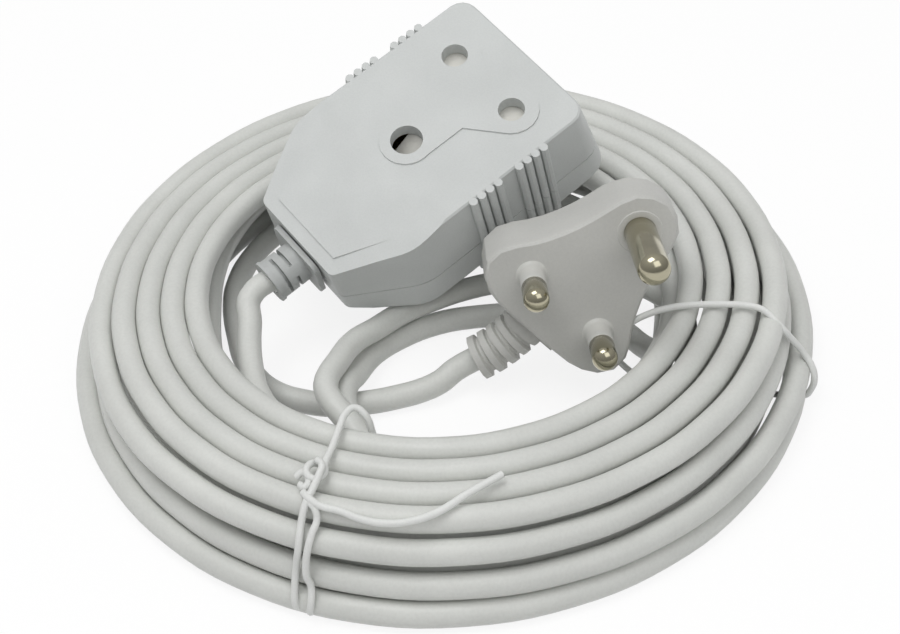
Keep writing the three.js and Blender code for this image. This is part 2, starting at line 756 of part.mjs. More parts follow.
function strainRelief() {
  const plateLow = cordAxisZ - reliefPlateBottom;
  const plateHigh = cordAxisZ + reliefPlateTop;
  const corners = [[plateLow, -reliefPlateHalfWidth], [plateHigh, -reliefPlateHalfWidth],
    [plateHigh, reliefPlateHalfWidth], [plateLow, reliefPlateHalfWidth]];
  const plate = new THREE.ExtrudeGeometry(new THREE.Shape(roundedPolygon(corners, [3, 3, 3, 3])), {
    depth: reliefPlateThickness,
    bevelEnabled: false,
  });
  plate.rotateY(-Math.PI / 2);
  plate.translate(reliefPlateX, 0, 0);
  const flangeX = nearInnerX + fitGap;
  const body = joined(
    solid(plate),
    barX(reliefPlateX - 0.5, flangeX + 0.5, 0, cordAxisZ, reliefNeckRadius, 20),
    box([flangeX, -reliefPlateHalfWidth + 3, cordAxisZ - reliefNeckRadius],
      [flangeX + 1.6, reliefPlateHalfWidth - 3, cordAxisZ + reliefNeckRadius + 2]),
    barX(reliefEndX, reliefPlateX - 0.5, 0, cordAxisZ, reliefRadius, 24),
    barX(reliefEndX, reliefEndX + reliefCollar, 0, cordAxisZ, reliefRadius + 0.4, 24),
  );
  return cutBy(
    body,
    barX(reliefEndX - 1, flangeX + 5, 0, cordAxisZ, cordRadius + fitGap, 20),
    reliefSlots(reliefPlateX - reliefPlateThickness - 3.6, -45),
    reliefSlots(reliefPlateX - reliefPlateThickness - 6.8, 45),
  );
}

function couplerTail() {
  return barX(reliefEndX, couplerTailEndX, 0, cordAxisZ, cordRadius, 20);
}

// A core of the cord from the cut end of the sheath into its terminal.
function couplerCore(side) {
  const y = side * liveY;
  const start = couplerTailEndX + fitGap;
  const low = cordAxisZ + (side === 0 ? 1.9 : -0.4);
  const points = [
    [start, side * 1.7, low], [start + 1.5, side * 1.8, low], [start + 5, side * 5, (low + coreZ) / 2],
    [terminalX - terminalSize / 2 - 4, y * 0.86, coreZ], [terminalX - terminalSize / 2 - 1, y, coreZ],
    [terminalX + 2, y, coreZ],
  ];
  return tubeGeometry(points.map(vector), coreDiameter / 2, 12, 6);
}

// ---------------------------------------------------------------- plug

// Half the outline of the plug's flat pin face, from the middle of its low edge to the top.
const plugFaceHalf = [
  [0, -11.7], [8, -11.7], [15, -11.2], [20.8, -8.8], [24, -3.5], [22.3, 1.5], [17.6, 8], [13.8, 15.5],
  [11, 24], [9.6, 30], [6.8, 35.6], [0, 38.6],
];

// The pin face's outline, moved outwards by `grow`.
function plugOutline(grow) {
  const left = plugFaceHalf.slice(1, -1).reverse().map(([x, y]) => [-x, y]);
  const corners = [...plugFaceHalf, ...left].map(([x, y]) => new THREE.Vector3(x, y, 0));
  const curve = new THREE.CatmullRomCurve3(corners, true, 'centripetal');
  const count = 36;
  return Array.from({ length: count }, (unused, i) => {
    const here = curve.getPointAt(i / count);
    const along = curve.getTangentAt(i / count);
    return new THREE.Vector2(here.x + along.y * grow, here.y - along.x * grow);
  });
}

function plugBodyForm() {
  const levels = [
    [-plugDepth, plugRim - 3.4], [-plugDepth + 0.6, plugRim - 1.9], [-plugDepth + 1.8, plugRim - 0.7],
    [-plugDepth + 3.6, plugRim], [-1.6, plugRim], [-0.5, plugRim - 0.35], [0, plugRim - 1],
  ];
  const form = solid(loft(levels.map(([z, grow]) => plugOutline(grow)
    .map((p) => new THREE.Vector3(p.x, p.y, z)))));
  return cutBy(form, plugBackSlope(0));
}

// What the slope towards the earth end takes off the plug's back, `inset` deeper inside.
function plugBackSlope(inset) {
  const run = plugFaceHalf[plugFaceHalf.length - 1][1] - plugSlopeStartY;
  const cutter = new THREE.BoxGeometry(90, 100, 40);
  cutter.translate(0, 50, -20);
  cutter.rotateX(Math.atan2(plugDepth - plugEarthEndDepth, run));
  cutter.translate(0, plugSlopeStartY, -plugDepth + inset);
  return solid(cutter);
}

function plugCavity() {
  const levels = [-plugDepth + plugRearWall, -plugFrontWall];
  const room = solid(loft(levels.map((z) => plugOutline(-plugWallInset)
    .map((p) => new THREE.Vector3(p.x, p.y, z)))));
  return cutBy(room, plugBackSlope(plugSlopeWall));
}

// The relief's centre line, from inside the body to its free end.
const plugReliefPath = [[0, -13, -11.5], [0, -17, -11.5], [-0.3, -21, -11.4], [-0.8, -25, -11.3],
  [-1.6, -28.4, -11.2],
  [-2.65, -31.7, -11.2]].map(vector);

function plugReliefCurve() {
  return new THREE.CatmullRomCurve3(plugReliefPath, false, 'centripetal');
}

// A ribbed sleeve round the cord: two rings stand out for each rib, two are drawn in between.
function plugRelief() {
  const curve = plugReliefCurve();
  const marks = [[0, plugReliefRadius]];
  const ribStart = 0.2;
  const pitch = (1 - ribStart) / plugReliefRibs;
  for (let k = 0; k < plugReliefRibs; k += 1) {
    const at = ribStart + k * pitch;
    marks.push([at, plugReliefRadius], [at + pitch * 0.12, plugReliefGroove],
      [at + pitch * 0.36, plugReliefGroove],
      [at + pitch * 0.48, plugReliefRadius]);
  }
  marks.push([1, plugReliefRadius]);
  const path = marks.map(([t]) => curve.getPointAt(t));
  return solid(loft(ringsAlong(path, (i) => marks[i][1], 14)));
}

// The straight run inside the body and then the relief's curve, for the cord and for its hole.
function plugTailPath(innerY) {
  const end = plugReliefPath[plugReliefPath.length - 1];
  const before = plugReliefPath[plugReliefPath.length - 2];
  return { inner: new THREE.Vector3(0, innerY, plugReliefPath[0].z), points: plugReliefPath, end, before };
}

function plugTail(radius, innerY, overrun, sides) {
  const { inner, points, end, before } = plugTailPath(innerY);
  const beyond = end.clone().addScaledVector(end.clone().sub(before).normalize(), overrun);
  const route = overrun > 0 ? [inner, ...points, beyond] : [inner, ...points];
  return solid(loft(ringsAlong(new THREE.CatmullRomCurve3(route, false, 'centripetal').getSpacedPoints(9),
    () => radius, sides)));
}

function plugPins() {
  return [[0, earthPitch, earthPinDiameter], [-liveY, 0, livePinDiameter], [liveY, 0, livePinDiameter]];
}

function plugBody() {
  const holes = plugPins().map(([x, y, d]) => barZ(x, y, -plugFrontWall - 1, 1, d / 2 + fitGap, 24));
  const root = box([-plugRootHalf, plugRootEndY, plugReliefPath[0].z - plugRootHeight],
    [plugRootHalf, plugRootEndY + 5, plugReliefPath[0].z + plugRootHeight]);
  const body = joined(plugBodyForm(), plugRelief(), root);
  return cutBy(body, plugCavity(), plugTail(cordRadius + fitGap, -9, 2, 16), ...holes);
}

// The stiff carrier that the pins are held in, behind the body's front wall.
function pinBridge() {
  const top = -plugFrontWall - fitGap;
  const plate = prism(plugOutline(-plugWallInset - 0.5), top - bridgeThickness, top);
  const holes = plugPins().map(([x, y]) =>
    barZ(x, y, top - bridgeThickness - 1, 0, pinRootDiameter / 2 + fitGap, 16));
  return cutBy(plate, ...holes);
}

// A pin: a root for the carrier, a waist under the sleeve if it has one, and a round-nosed end.
function pin(diameter, length, waistEnd) {
  const radius = diameter / 2;
  const waist = radius - pinSleeveWall - fitGap;
  const nose = diameter * 0.22;
  const profile = [[0, -pinRootLength], [pinRootDiameter / 2, -pinRootLength],
    [pinRootDiameter / 2, -plugFrontWall]];
  if (waistEnd > 0) profile.push([waist, -plugFrontWall], [waist, waistEnd], [radius, waistEnd]);
  else profile.push([radius, -plugFrontWall]);
  for (let k = 0; k <= 4; k += 1) {
    const angle = (Math.PI / 2) * (k / 4);
    profile.push([radius - nose + nose * Math.cos(angle), length - nose + nose * Math.sin(angle)]);
  }
  profile.push([0, length]);
  const geometry = new THREE.LatheGeometry(profile.map((p) => new THREE.Vector2(...p)), 20);
  geometry.rotateX(Math.PI / 2);
  return solid(geometry);
}

function pinSleeve(x) {
  const radius = livePinDiameter / 2;
  const outer = barZ(x, 0, -plugFrontWall + fitGap, pinSleeveLength, radius, 24);
  return outer.subtract(barZ(x, 0, -plugFrontWall - 1, pinSleeveLength + 1, radius - pinSleeveWall, 24));
}

// A core of the cord from the sheath's end round to the root of its pin.
function plugCore(x, y, startX, startZ) {
  const rootZ = -pinRootLength - fitGap;
  const turnZ = rootZ - 3.2;
  const startY = plugTailInnerY + fitGap;
  const points = [
    [startX, startY, startZ], [startX, startY + 1.6, startZ], [x * 0.55, (startY + y) / 2, turnZ + 0.3],
    [x * 0.93, y - 2.6 * (y > 1 ? 1 : 0.7), turnZ + 0.2], [x, y, turnZ + 1.2], [x, y, rootZ],
  ];
  return tubeGeometry(points.map(vector), coreDiameter / 2, 14, 6);
}

// ---------------------------------------------------------------- cord

const reversalTurns = coilTurns.slice(0, -1)
  .map((unused, i) => coilTurns.slice(0, i + 1).reduce((a, b) => a + b));
const totalTurns = coilTurns.reduce((a, b) => a + b);

// The coil's centre line after `turn` turns from its inner start on the lowest layer.
function coilPoint(turn) {
  let radius = coilRadii[0];
  let done = 0;
  coilTurns.forEach((turns, i) => {
    const share = THREE.MathUtils.clamp((turn - done) / turns, 0, 1);
    radius += (coilRadii[i + 1] - coilRadii[i]) * share;
    done += turns;
  });
  let z = firstLayerHeight + (cordRadius - firstLayerHeight) * Math.max(0, 1 - turn / 0.15);
  for (const at of reversalTurns) z += layerPitch * THREE.MathUtils.clamp((turn - at + 0.25) / 0.5, 0, 1);
  const angle = coilStartAngle - 360 * turn;
  const inner = reversalTurns[1];
  if (Math.abs(turn - inner) < 0.5) {
    const off = (turn - inner) * 360 + (innerDipAngle - innerReversalAngle());
    radius -= innerDip * Math.exp(-((off / innerDipSpread) ** 2));
  }
  const tucked = Math.max(0, 1 - (totalTurns - turn) / endTuckTurns);
  radius -= endTuck * tucked * tucked;
  const shift = radius - coilShiftStart;
  return new THREE.Vector3(
    radius * Math.cos(rad(angle)) + coilShift[0] * shift,
    radius * Math.sin(rad(angle)) + coilShift[1] * shift,
    z,
  );
}

// Where the inner reversal lies, in degrees from +X.
function innerReversalAngle() {
  return ((coilStartAngle - 360 * reversalTurns[1]) % 360 + 360) % 360;
}

function coilPath() {
  const steps = Math.round(totalTurns * coilStepsPerTurn);
  const bare = Array.from({ length: steps + 1 }, (unused, i) => coilPoint((totalTurns * i) / steps));
  const first = bare[0].clone().sub(bare[1]).setZ(0).normalize();
  const last = bare[steps].clone().sub(bare[steps - 1]).setZ(0).normalize();
  return [
    bare[0].clone().addScaledVector(first, cordDiameter),
    ...bare,
    bare[steps].clone().addScaledVector(last, cordDiameter),
  ];
}

// A tube's skin in points: every ring's corners and the middles between them.
function skinPoints(rings) {
  return rings.map((ring) => ring.flatMap((p, k) => [p, p.clone().lerp(ring[(k + 1) % ring.length], 0.5)]));
}

// The least distance between two tubes' skins, leaving out rings of one tube fewer than `apart` apart.
function leastGap(a, b, apart = 0) {
  const first = skinPoints(a);
  const second = skinPoints(b);
  let least = Infinity;
  first.forEach((ring, i) => {
    second.forEach((other, j) => {
      if (apart > 0 && j - i < apart) return;
      if (ring[0].distanceTo(other[0]) > 3 * cordDiameter) return;
      for (const p of ring) {
        for (const q of other) least = Math.min(least, p.distanceTo(q));
      }
    });
  });
  return least;
}

// Hand-set points of the free stretches. Both ends are added from what they meet.
const plugLeadPoints = [
  [-0.9, -25.4, 5.4], [-6.7, -27.3, 4.2], [-12.5, -28.4, 3.6], [-20, -29.8, 3.5], [-31, -30.2, 3.5],
  [-40, -28, 3.5], [-47.5, -24.3, 3.5], [-53.5, -18, 3.5], [-57.8, -9.5, 3.5], [-60.8, 2.1, 3.5],
  [-62.8, 14, 3.5], [-62.6, 25, 3.5], [-58, 40, 3.5], [-46, 55.5, 3.5], [-28, 67, 3.5], [-8, 72, 3.5],
  [14, 71.3, 3.5], [35, 62.5, 3.5], [52, 48, 3.5], [64, 29, 3.5], [68.2, 10, 3.5], [66.3, -8, 3.5],
  [61.2, -26, 3.5], [51, -45.5, 3.5], [35, -59, 3.5], [17, -66.5, 3.5], [0, -68.4, 3.5],
  [-8.5, -66.6, 3.6], [-15.8, -61, 4], [-20.6, -53.8, 5.5], [-24.3, -46, 8], [-26.9, -40, 10],
  [-27.7, -35.6, 10.8],
  [-26.9, -29.5, 10.7], [-25.2, -24.5, 8.6], [-20.1, -11.8, 4.8], [-13.4, -4.7, 3.7], [-1.2, 1.7, 3.5],
  [12, 3.8, 3.5], [28, 3.4, 3.5], [43, 0.5, 3.5], [53.5, -6.5, 3.8], [58.6, -14.5, 4.6], [60.8, -21.5, 8.2],
  [61.4, -28.5, 10.6], [51.5, -45.5, 10.8], [35, -59, 10.8], [17, -66.5, 10.8], [0, -68.6, 10.8],
  [-8.8, -67, 10.8],
  [-16.3, -61.8, 11], [-21.8, -54.5, 12.7], [-27, -47, 15.4], [-31.2, -40.8, 17.2], [-32.1, -36, 17.6],
  [-29, -26.3, 16.6],
  [-24.3, -15.1, 14], [-18.8, -8.8, 12.3], [-11.2, -1, 10.9], [-1.5, 5.5, 9.8], [7.3, 10, 9],
  [20, 13.4, 8.6], [36, 14, 8.6], [50, 10.5, 9.6], [60, 5.5, 10.9], [66.8, -1, 11], [70.8, -7.6, 10.4],
  [71, -15.1, 8.8], [70.4, -21.5, 7.2], [69.4, -28.1, 5.2], [67.2, -36, 3.8], [63.1, -44.2, 3.5],
];
const couplerLeadPoints = [
  [48.2, 45.4, 23.4], [58, 32.6, 21.8], [65, 17, 20.2], [68.2, 0, 19], [66.3, -17.8, 18.2],
  [59.4, -34.3, 18.1],
  [48.5, -48.5, 18.1], [34.3, -59.4, 18.1], [17.8, -66.3, 18.1], [0, -68.6, 18.1], [-14, -67.2, 18.1],
  [-27, -62.6, 18.1], [-38, -56, 18.1], [-46, -47.5, 18.1], [-51, -37.5, 18], [-53.2, -27.5, 18.1],
  [-54.1, -18.5, 19.1], [-54.1, -12, 20.5],
];

function worldAxes(place) {
  const x = vector(place.x).normalize();
  const zGuess = vector(place.z);
  const y = new THREE.Vector3().crossVectors(zGuess, x).normalize();
  const z = new THREE.Vector3().crossVectors(x, y);
  return new THREE.Matrix4().makeBasis(x, y, z).setPosition(...place.at);
}

const couplerMatrix = worldAxes(couplerPlace);
const plugMatrix = worldAxes(plugPlace);

// A point just outside a piece's cord outlet, and one a straight cord diameter further on.
function outlet(matrix, end, before) {
  const out = end.clone().sub(before).transformDirection(matrix);
  const start = end.clone().applyMatrix4(matrix).addScaledVector(out, fitGap);
  return [start, start.clone().addScaledVector(out, cordDiameter)];
}

function couplerOutlet() {
  const end = new THREE.Vector3(reliefEndX, 0, cordAxisZ);
  return outlet(couplerMatrix, end, end.clone().setX(reliefEndX + 1));
}

function plugOutlet() {
  const count = plugReliefPath.length;
  return outlet(plugMatrix, plugReliefPath[count - 1], plugReliefPath[count - 2]);
}

// The two points that carry a lead straight on to one end of the coil.
function coilMeeting(path, fromStart) {
  const [tip, next] = fromStart ? [path[0], path[1]] : [path[path.length - 1], path[path.length - 2]];
  const out = tip.clone().sub(next).setZ(0).normalize();
  const start = tip.clone().addScaledVector(out, fitGap);
  return [start, start.clone().addScaledVector(out, cordRadius)];
}

// A lead's centre line: smooth through its points, with a straight cord diameter at both ends.
function leadPath(points, steps) {
  const bends = new THREE.CatmullRomCurve3(points.slice(1, -1), false, 'centripetal');
  return [points[0], ...bends.getSpacedPoints(steps), points[points.length - 1]];
}

function cordRoutes() {
  const coil = coilPath();
  const [plugStart, plugStraight] = plugOutlet();
  const [coilStart, coilStartStraight] = coilMeeting(coil, true);
  const [coilEnd, coilEndStraight] = coilMeeting(coil, false);
  const [couplerStart, couplerStraight] = couplerOutlet();
  return {
    coil,
    plugLead: leadPath([plugStart, plugStraight, ...plugLeadPoints.map(vector), coilStartStraight, coilStart],
      plugLeadSteps),
    couplerLead: leadPath([coilEnd, coilEndStraight, ...couplerLeadPoints.map(vector), couplerStraight,
      couplerStart],
      couplerLeadSteps),
  };
}

function pathLength(path) {
  return path.slice(1).reduce((sum, point, i) => sum + point.distanceTo(path[i]), 0);
}

// ---------------------------------------------------------------- ties

// Level directions out across the ring in a tie's upright plane, and square to the plane.
function tieAxes({ angle }) {
  return {
    out: new THREE.Vector3(Math.cos(rad(angle)), Math.sin(rad(angle)), 0),
    along: new THREE.Vector3(-Math.sin(rad(angle)), Math.cos(rad(angle)), 0),
  };
}

// Where the strands that a tie goes round cross its plane.
function strandSection(place, routes) {
  const { out, along } = tieAxes(place);
  const cut = [];
  const dense = [];
  for (let t = 0; t <= totalTurns; t += 1 / 180) dense.push(coilPoint(t));
  const curves = [dense, routes.plugLead, routes.couplerLead];
  for (const points of curves) {
    for (let i = 0; i + 1 < points.length; i += 1) {
      const a = points[i].dot(along) - place.offset;
      const b = points[i + 1].dot(along) - place.offset;
      const crossing = points[i].clone().lerp(points[i + 1], a / (a - b));
      const reach = crossing.dot(out);
      if (a * b <= 0 && a !== b && reach > place.from) cut.push(new THREE.Vector2(reach, crossing.z));
    }
  }
  return cut;
}

// The convex outline round a set of points, counter-clockwise.
function hull(points) {
  const sorted = [...points].sort((a, b) => a.x - b.x || a.y - b.y);
  const turn = (o, a, b) => (a.x - o.x) * (b.y - o.y) - (a.y - o.y) * (b.x - o.x);
  const chain = (list) => {
    const out = [];
    for (const p of list) {
      while (out.length > 1 && turn(out[out.length - 2], out[out.length - 1], p) <= 0) out.pop();
      out.push(p);
    }
    out.pop();
    return out;
  };
  return [...chain(sorted), ...chain([...sorted].reverse())];
}

// A wire once round the coil in an upright plane, then both ends laid out along `ends`.
function tie(place, routes, ends) {
  const clear = cordRadius + tieWire / 2 + tieClearance;
  const floor = tieWire / 2 + 0.15;
  const corners = hull(strandSection(place, routes));
  const round = [];
  corners.forEach((p, i) => {
    const before = corners[(i + corners.length - 1) % corners.length];
    const after = corners[(i + 1) % corners.length];
    const from = Math.atan2(-(p.x - before.x), p.y - before.y);
    let to = Math.atan2(-(after.x - p.x), after.y - p.y);
    while (to < from) to += 2 * Math.PI;
    const steps = Math.max(1, Math.ceil((to - from) / 0.6));
    for (let k = 0; k <= steps; k += 1) {
      const a = from + ((to - from) * k) / steps;
      round.push(new THREE.Vector2(p.x + clear * Math.cos(a), Math.max(p.y + clear * Math.sin(a), floor)));
    }
  });
  const top = round.reduce((best, p, i) =>
    (p.y - p.x * 0.02 > round[best].y - round[best].x * 0.02 ? i : best), 0);
  const ordered = [...round.slice(top), ...round.slice(0, top)];
  const { out, along } = tieAxes(place);
  const loop = ordered.map((p, i) => out.clone().multiplyScalar(p.x)
    .addScaledVector(along, place.offset + tieWire * 1.4 * (i / (ordered.length - 1) - 0.5))
    .setZ(p.y));
  const path = [...ends[0].map(vector).reverse(), ...loop, ...ends[1].map(vector)];
  const smooth = new THREE.CatmullRomCurve3(path, false, 'centripetal').getSpacedPoints(tieSteps);
  return loft(wireRings(smooth, tieWire / 2, tieSides));
}

// Rings of a wire that may point straight up or down: the section turns as little as it can.
function wireRings(path, radius, sides) {
  let side = new THREE.Vector3(0, 0, 1).cross(path[1].clone().sub(path[0])).normalize();
  return path.map((point, i) => {
    const along = path[Math.min(i + 1, path.length - 1)].clone().sub(path[Math.max(i - 1, 0)]).normalize();
    side = side.clone().addScaledVector(along, -side.dot(along)).normalize();
    const top = new THREE.Vector3().crossVectors(along, side);
    return Array.from({ length: sides }, (unused, k) => {
      const angle = (2 * Math.PI * k) / sides;
      return point.clone().addScaledVector(side, radius * Math.cos(angle))
        .addScaledVector(top, radius * Math.sin(angle));
    });
  });
}

// The dent that a tie presses under the cords it goes round.
function tieDent({ angle, offset, from }) {
  const half = tieWire * 1.2 + fitGap;
  const dent = box([from - 10, offset - half, -5], [from + 60, offset + half, tieWire + 2 * fitGap]);
  return dent.rotate([0, 0, angle]);
}

// Planes of the ties: direction out across the ring, distance from the coil's axis, and how far
// out the strands are that they hold.
const frontTiePlace = { angle: -111, offset: 0, from: 63 };
const rightTiePlace = { angle: -2, offset: -27.8, from: 60 };
const frontTieEnds = [
  [[-33.4, -85.5, 31.4], [-31, -79, 32], [-28.6, -71.5, 33], [-26.4, -65, 34.5], [-23, -61.5, 35],
    [-20, -62.5, 32.5]],
  [[-29, -94.5, 31.6], [-22, -97.4, 31.4], [-11.1, -98.4, 31.2], [-2, -96, 31.2], [8, -90, 31.4],
    [15, -86.5, 31.6]],
];
const rightTieEnds = [
  [[71.5, -27, 31.4], [66, -25.2, 33]],
  [[77.5, -29.5, 31.6], [83, -33.5, 32.5]],
];

// ---------------------------------------------------------------- assembly

const paint = (color, roughness, metalness = 0) =>
  new THREE.MeshStandardMaterial({ color, roughness, metalness });
const casingGrey = paint(0xc9cbc8, 0.55);
const plugGrey = paint(0xb9bab6, 0.6);
const cordGrey = paint(0xc6c9c4, 0.5);
const shutterWhite = paint(0xe8e6df, 0.5);
const sleeveGrey = paint(0x9c9c98, 0.55);
const nickel = paint(0xb9b2a4, 0.25, 1);
const brass = paint(0xc9a65a, 0.35, 1);
const steel = paint(0x9aa0a4, 0.35, 1);
const coreColours = { live: paint(0x7a4a2a, 0.5), neutral: paint(0x2f5fb0, 0.5),
  earth: paint(0x6aa83a, 0.5) };
const tieWhite = paint(0xdfe0dc, 0.5);

function node(group, name, geometry, material) {
  const mesh = new THREE.Mesh(geometry, material);
  mesh.name = name;
  group.add(mesh);
}

function placed(matrix) {
  const group = new THREE.Group();
  matrix.decompose(group.position, group.quaternion, group.scale);
  return group;
}

function couplerGroup() {
  const group = placed(couplerMatrix);
  const add = (name, body, material) => node(group, name, geometryOf(body), material);
  add('coupler_front_shell', frontShell(), casingGrey);
  add('coupler_back_shell', backShell(), casingGrey);
  add('front_shutter', shutter(), shutterWhite);
  add('back_shutter', turnedOver(shutter()), shutterWhite);
  add('front_shutter_spring', shutterSpring(), steel);
  add('back_shutter_spring', turnedOver(shutterSpring()), steel);
  add('live_contact', lineContact(liveY), brass);
  add('neutral_contact', lineContact(-liveY), brass);
  add('earth_contact', earthContact(), brass);
  add('live_terminal_screw', terminalScrew(liveY), steel);
  add('neutral_terminal_screw', terminalScrew(-liveY), steel);
  add('earth_terminal_screw', terminalScrew(0), steel);
  add('cord_clamp', cordClamp(), casingGrey);
  add('clamp_screw_left', clampScrew(1), steel);
  add('clamp_screw_right', clampScrew(-1), steel);
  bossPlaces.forEach(([x, y], i) => add(`shell_screw_${i + 1}`, shellScrew(x, y), steel));
  add('coupler_strain_relief', strainRelief(), casingGrey);
  add('coupler_cord_tail', couplerTail(), cordGrey);
  node(group, 'coupler_live_core', couplerCore(1), coreColours.live);
  node(group, 'coupler_neutral_core', couplerCore(-1), coreColours.neutral);
  node(group, 'coupler_earth_core', couplerCore(0), coreColours.earth);
  return group;
}

function plugGroup() {
  const group = placed(plugMatrix);
  const add = (name, body, material) => node(group, name, geometryOf(body), material);
  const waist = pinSleeveLength + fitGap;
  add('plug_body', plugBody(), plugGrey);
  add('pin_bridge', pinBridge(), shutterWhite);
  add('earth_pin', pin(earthPinDiameter, earthPinLength, 0).translate([0, earthPitch, 0]), nickel);
  add('live_pin', pin(livePinDiameter, livePinLength, waist).translate([-liveY, 0, 0]), nickel);
  add('neutral_pin', pin(livePinDiameter, livePinLength, waist).translate([liveY, 0, 0]), nickel);
  add('live_pin_sleeve', pinSleeve(-liveY), sleeveGrey);
  add('neutral_pin_sleeve', pinSleeve(liveY), sleeveGrey);
  add('plug_cord_tail', plugTail(cordRadius, plugTailInnerY, 0, 8), cordGrey);
  const axisZ = plugReliefPath[0].z;
  node(group, 'plug_live_core', plugCore(-liveY, 0, -1.7, axisZ - 1.2), coreColours.live);
  node(group, 'plug_neutral_core', plugCore(liveY, 0, 1.7, axisZ - 1.2), coreColours.neutral);
  node(group, 'plug_earth_core', plugCore(0, earthPitch, 0, axisZ + 1.3), coreColours.earth);
  return group;
}

function cordGroup() {
  const group = new THREE.Group();
  const routes = cordRoutes();
  const rings = {
    coil: ringsAlong(routes.coil, () => cordRadius, coilSides),
    plugLead: ringsAlong(routes.plugLead, () => cordRadius, leadSides),
    couplerLead: ringsAlong(routes.couplerLead, () => cordRadius, leadSides),
  };
  const ground = box([-200, -200, -20], [200, 200, 0]);
  const dents = [frontTiePlace, rightTiePlace].map(tieDent);
  node(group, 'cord_coil', geometryOf(cutBy(solid(loft(rings.coil)), ground, ...dents)), cordGrey);
  node(group, 'plug_lead', geometryOf(cutBy(solid(loft(rings.plugLead)), ...dents)), cordGrey);
  node(group, 'coupler_lead', geometryOf(solid(loft(rings.couplerLead))), cordGrey);
  node(group, 'front_tie', tie(frontTiePlace, routes, frontTieEnds), tieWhite);
  node(group, 'right_tie', tie(rightTiePlace, routes, rightTieEnds), tieWhite);
  const apart = coilStepsPerTurn / 2;
  console.log('least gap of the coil to itself, mm:', leastGap(rings.coil, rings.coil, apart).toFixed(2));
  console.log('of the plug lead to itself:', leastGap(rings.plugLead, rings.plugLead, 4).toFixed(2));
  console.log('cord lengths, mm:', ...Object.values(routes).map((path) => Math.round(pathLength(path))));
  return group;
}

// The origin moves from the coil's centre to the middle of the front socket face.
const socketMiddle = new THREE.Vector3(earthPitch * socketMiddleShare, 0, 0).applyMatrix4(couplerMatrix);
const model = new THREE.Group();
const laid = new THREE.Group();
laid.position.copy(socketMiddle).negate();
laid.add(couplerGroup(), plugGroup(), cordGroup());
model.add(laid);

export default model;
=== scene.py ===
import json
import math

import bmesh
import bpy
from mathutils import Matrix, Vector

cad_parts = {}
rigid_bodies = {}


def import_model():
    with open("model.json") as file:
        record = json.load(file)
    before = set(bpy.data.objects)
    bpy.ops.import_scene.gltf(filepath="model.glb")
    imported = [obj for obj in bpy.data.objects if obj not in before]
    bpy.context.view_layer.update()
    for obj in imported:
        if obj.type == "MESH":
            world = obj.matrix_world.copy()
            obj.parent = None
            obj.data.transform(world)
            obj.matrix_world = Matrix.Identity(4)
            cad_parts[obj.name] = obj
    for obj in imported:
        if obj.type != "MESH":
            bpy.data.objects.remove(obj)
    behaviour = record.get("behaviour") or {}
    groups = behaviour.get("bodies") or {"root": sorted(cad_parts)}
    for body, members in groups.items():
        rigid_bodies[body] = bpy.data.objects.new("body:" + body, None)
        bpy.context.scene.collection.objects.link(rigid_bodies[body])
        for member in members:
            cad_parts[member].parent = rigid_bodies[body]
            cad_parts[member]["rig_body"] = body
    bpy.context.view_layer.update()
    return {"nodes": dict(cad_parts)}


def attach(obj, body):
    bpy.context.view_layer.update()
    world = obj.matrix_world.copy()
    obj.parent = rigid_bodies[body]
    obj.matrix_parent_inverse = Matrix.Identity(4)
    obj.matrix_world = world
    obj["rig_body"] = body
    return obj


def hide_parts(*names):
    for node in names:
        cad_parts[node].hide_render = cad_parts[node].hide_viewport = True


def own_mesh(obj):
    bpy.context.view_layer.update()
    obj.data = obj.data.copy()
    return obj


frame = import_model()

MM = 0.001
NODES = frame["nodes"]

# The row's origin, the middle of the coupler's front face, seen from the coil's centre on the
# ground. Points below are given in millimetres from the coil's centre, as the cord's route is.
ORIGIN = Vector((9.05103, 30.01023, 63.51215))


def at(point):
    """A point in millimetres from the coil's centre, as metres in the row frame."""
    return (Vector(point) - ORIGIN) * MM


def axes(place, x_axis, z_axis):
    """The matrix from a piece's own millimetres to millimetres from the coil's centre."""
    x = Vector(x_axis).normalized()
    y = Vector(z_axis).cross(x).normalized()
    z = x.cross(y)
    matrix = Matrix((x, y, z)).transposed().to_4x4()
    matrix.translation = Vector(place)
    return matrix


COUPLER = axes((-6.2, 19.9, 58.2), (0.801, 0.531, 0.279), (-0.059, -0.393, 0.918))
PLUG = axes((34.8, -26.5, 32.9), (0.696, -0.211, -0.686), (-0.002, -0.956, 0.292))

# ------------------------------------------------------------------------------ camera

CAMERA_PLACE = (3.11, -333.76, 304.03)
CAMERA_RIGHT = Vector((0.99817, -0.0402, -0.0452))
CAMERA_UP = Vector((0.0605, 0.6631, 0.7461))


def make_camera():
    data = bpy.data.cameras.new("camera")
    data.lens = 60
    data.sensor_width = 36
    data.clip_start = 0.01
    camera = bpy.data.objects.new("camera", data)
    bpy.context.collection.objects.link(camera)
    right = CAMERA_RIGHT.normalized()
    back = right.cross(CAMERA_UP).normalized()
    up = back.cross(right)
    matrix = Matrix((right, up, back)).transposed().to_4x4()
    matrix.translation = at(CAMERA_PLACE)
    camera.matrix_world = matrix
    bpy.context.scene.camera = camera


make_camera()

# ------------------------------------------------------------------------------ cord route

CORD_DIAMETER = 7.0
CORD_RADIUS = CORD_DIAMETER / 2
FIT_GAP = 0.3

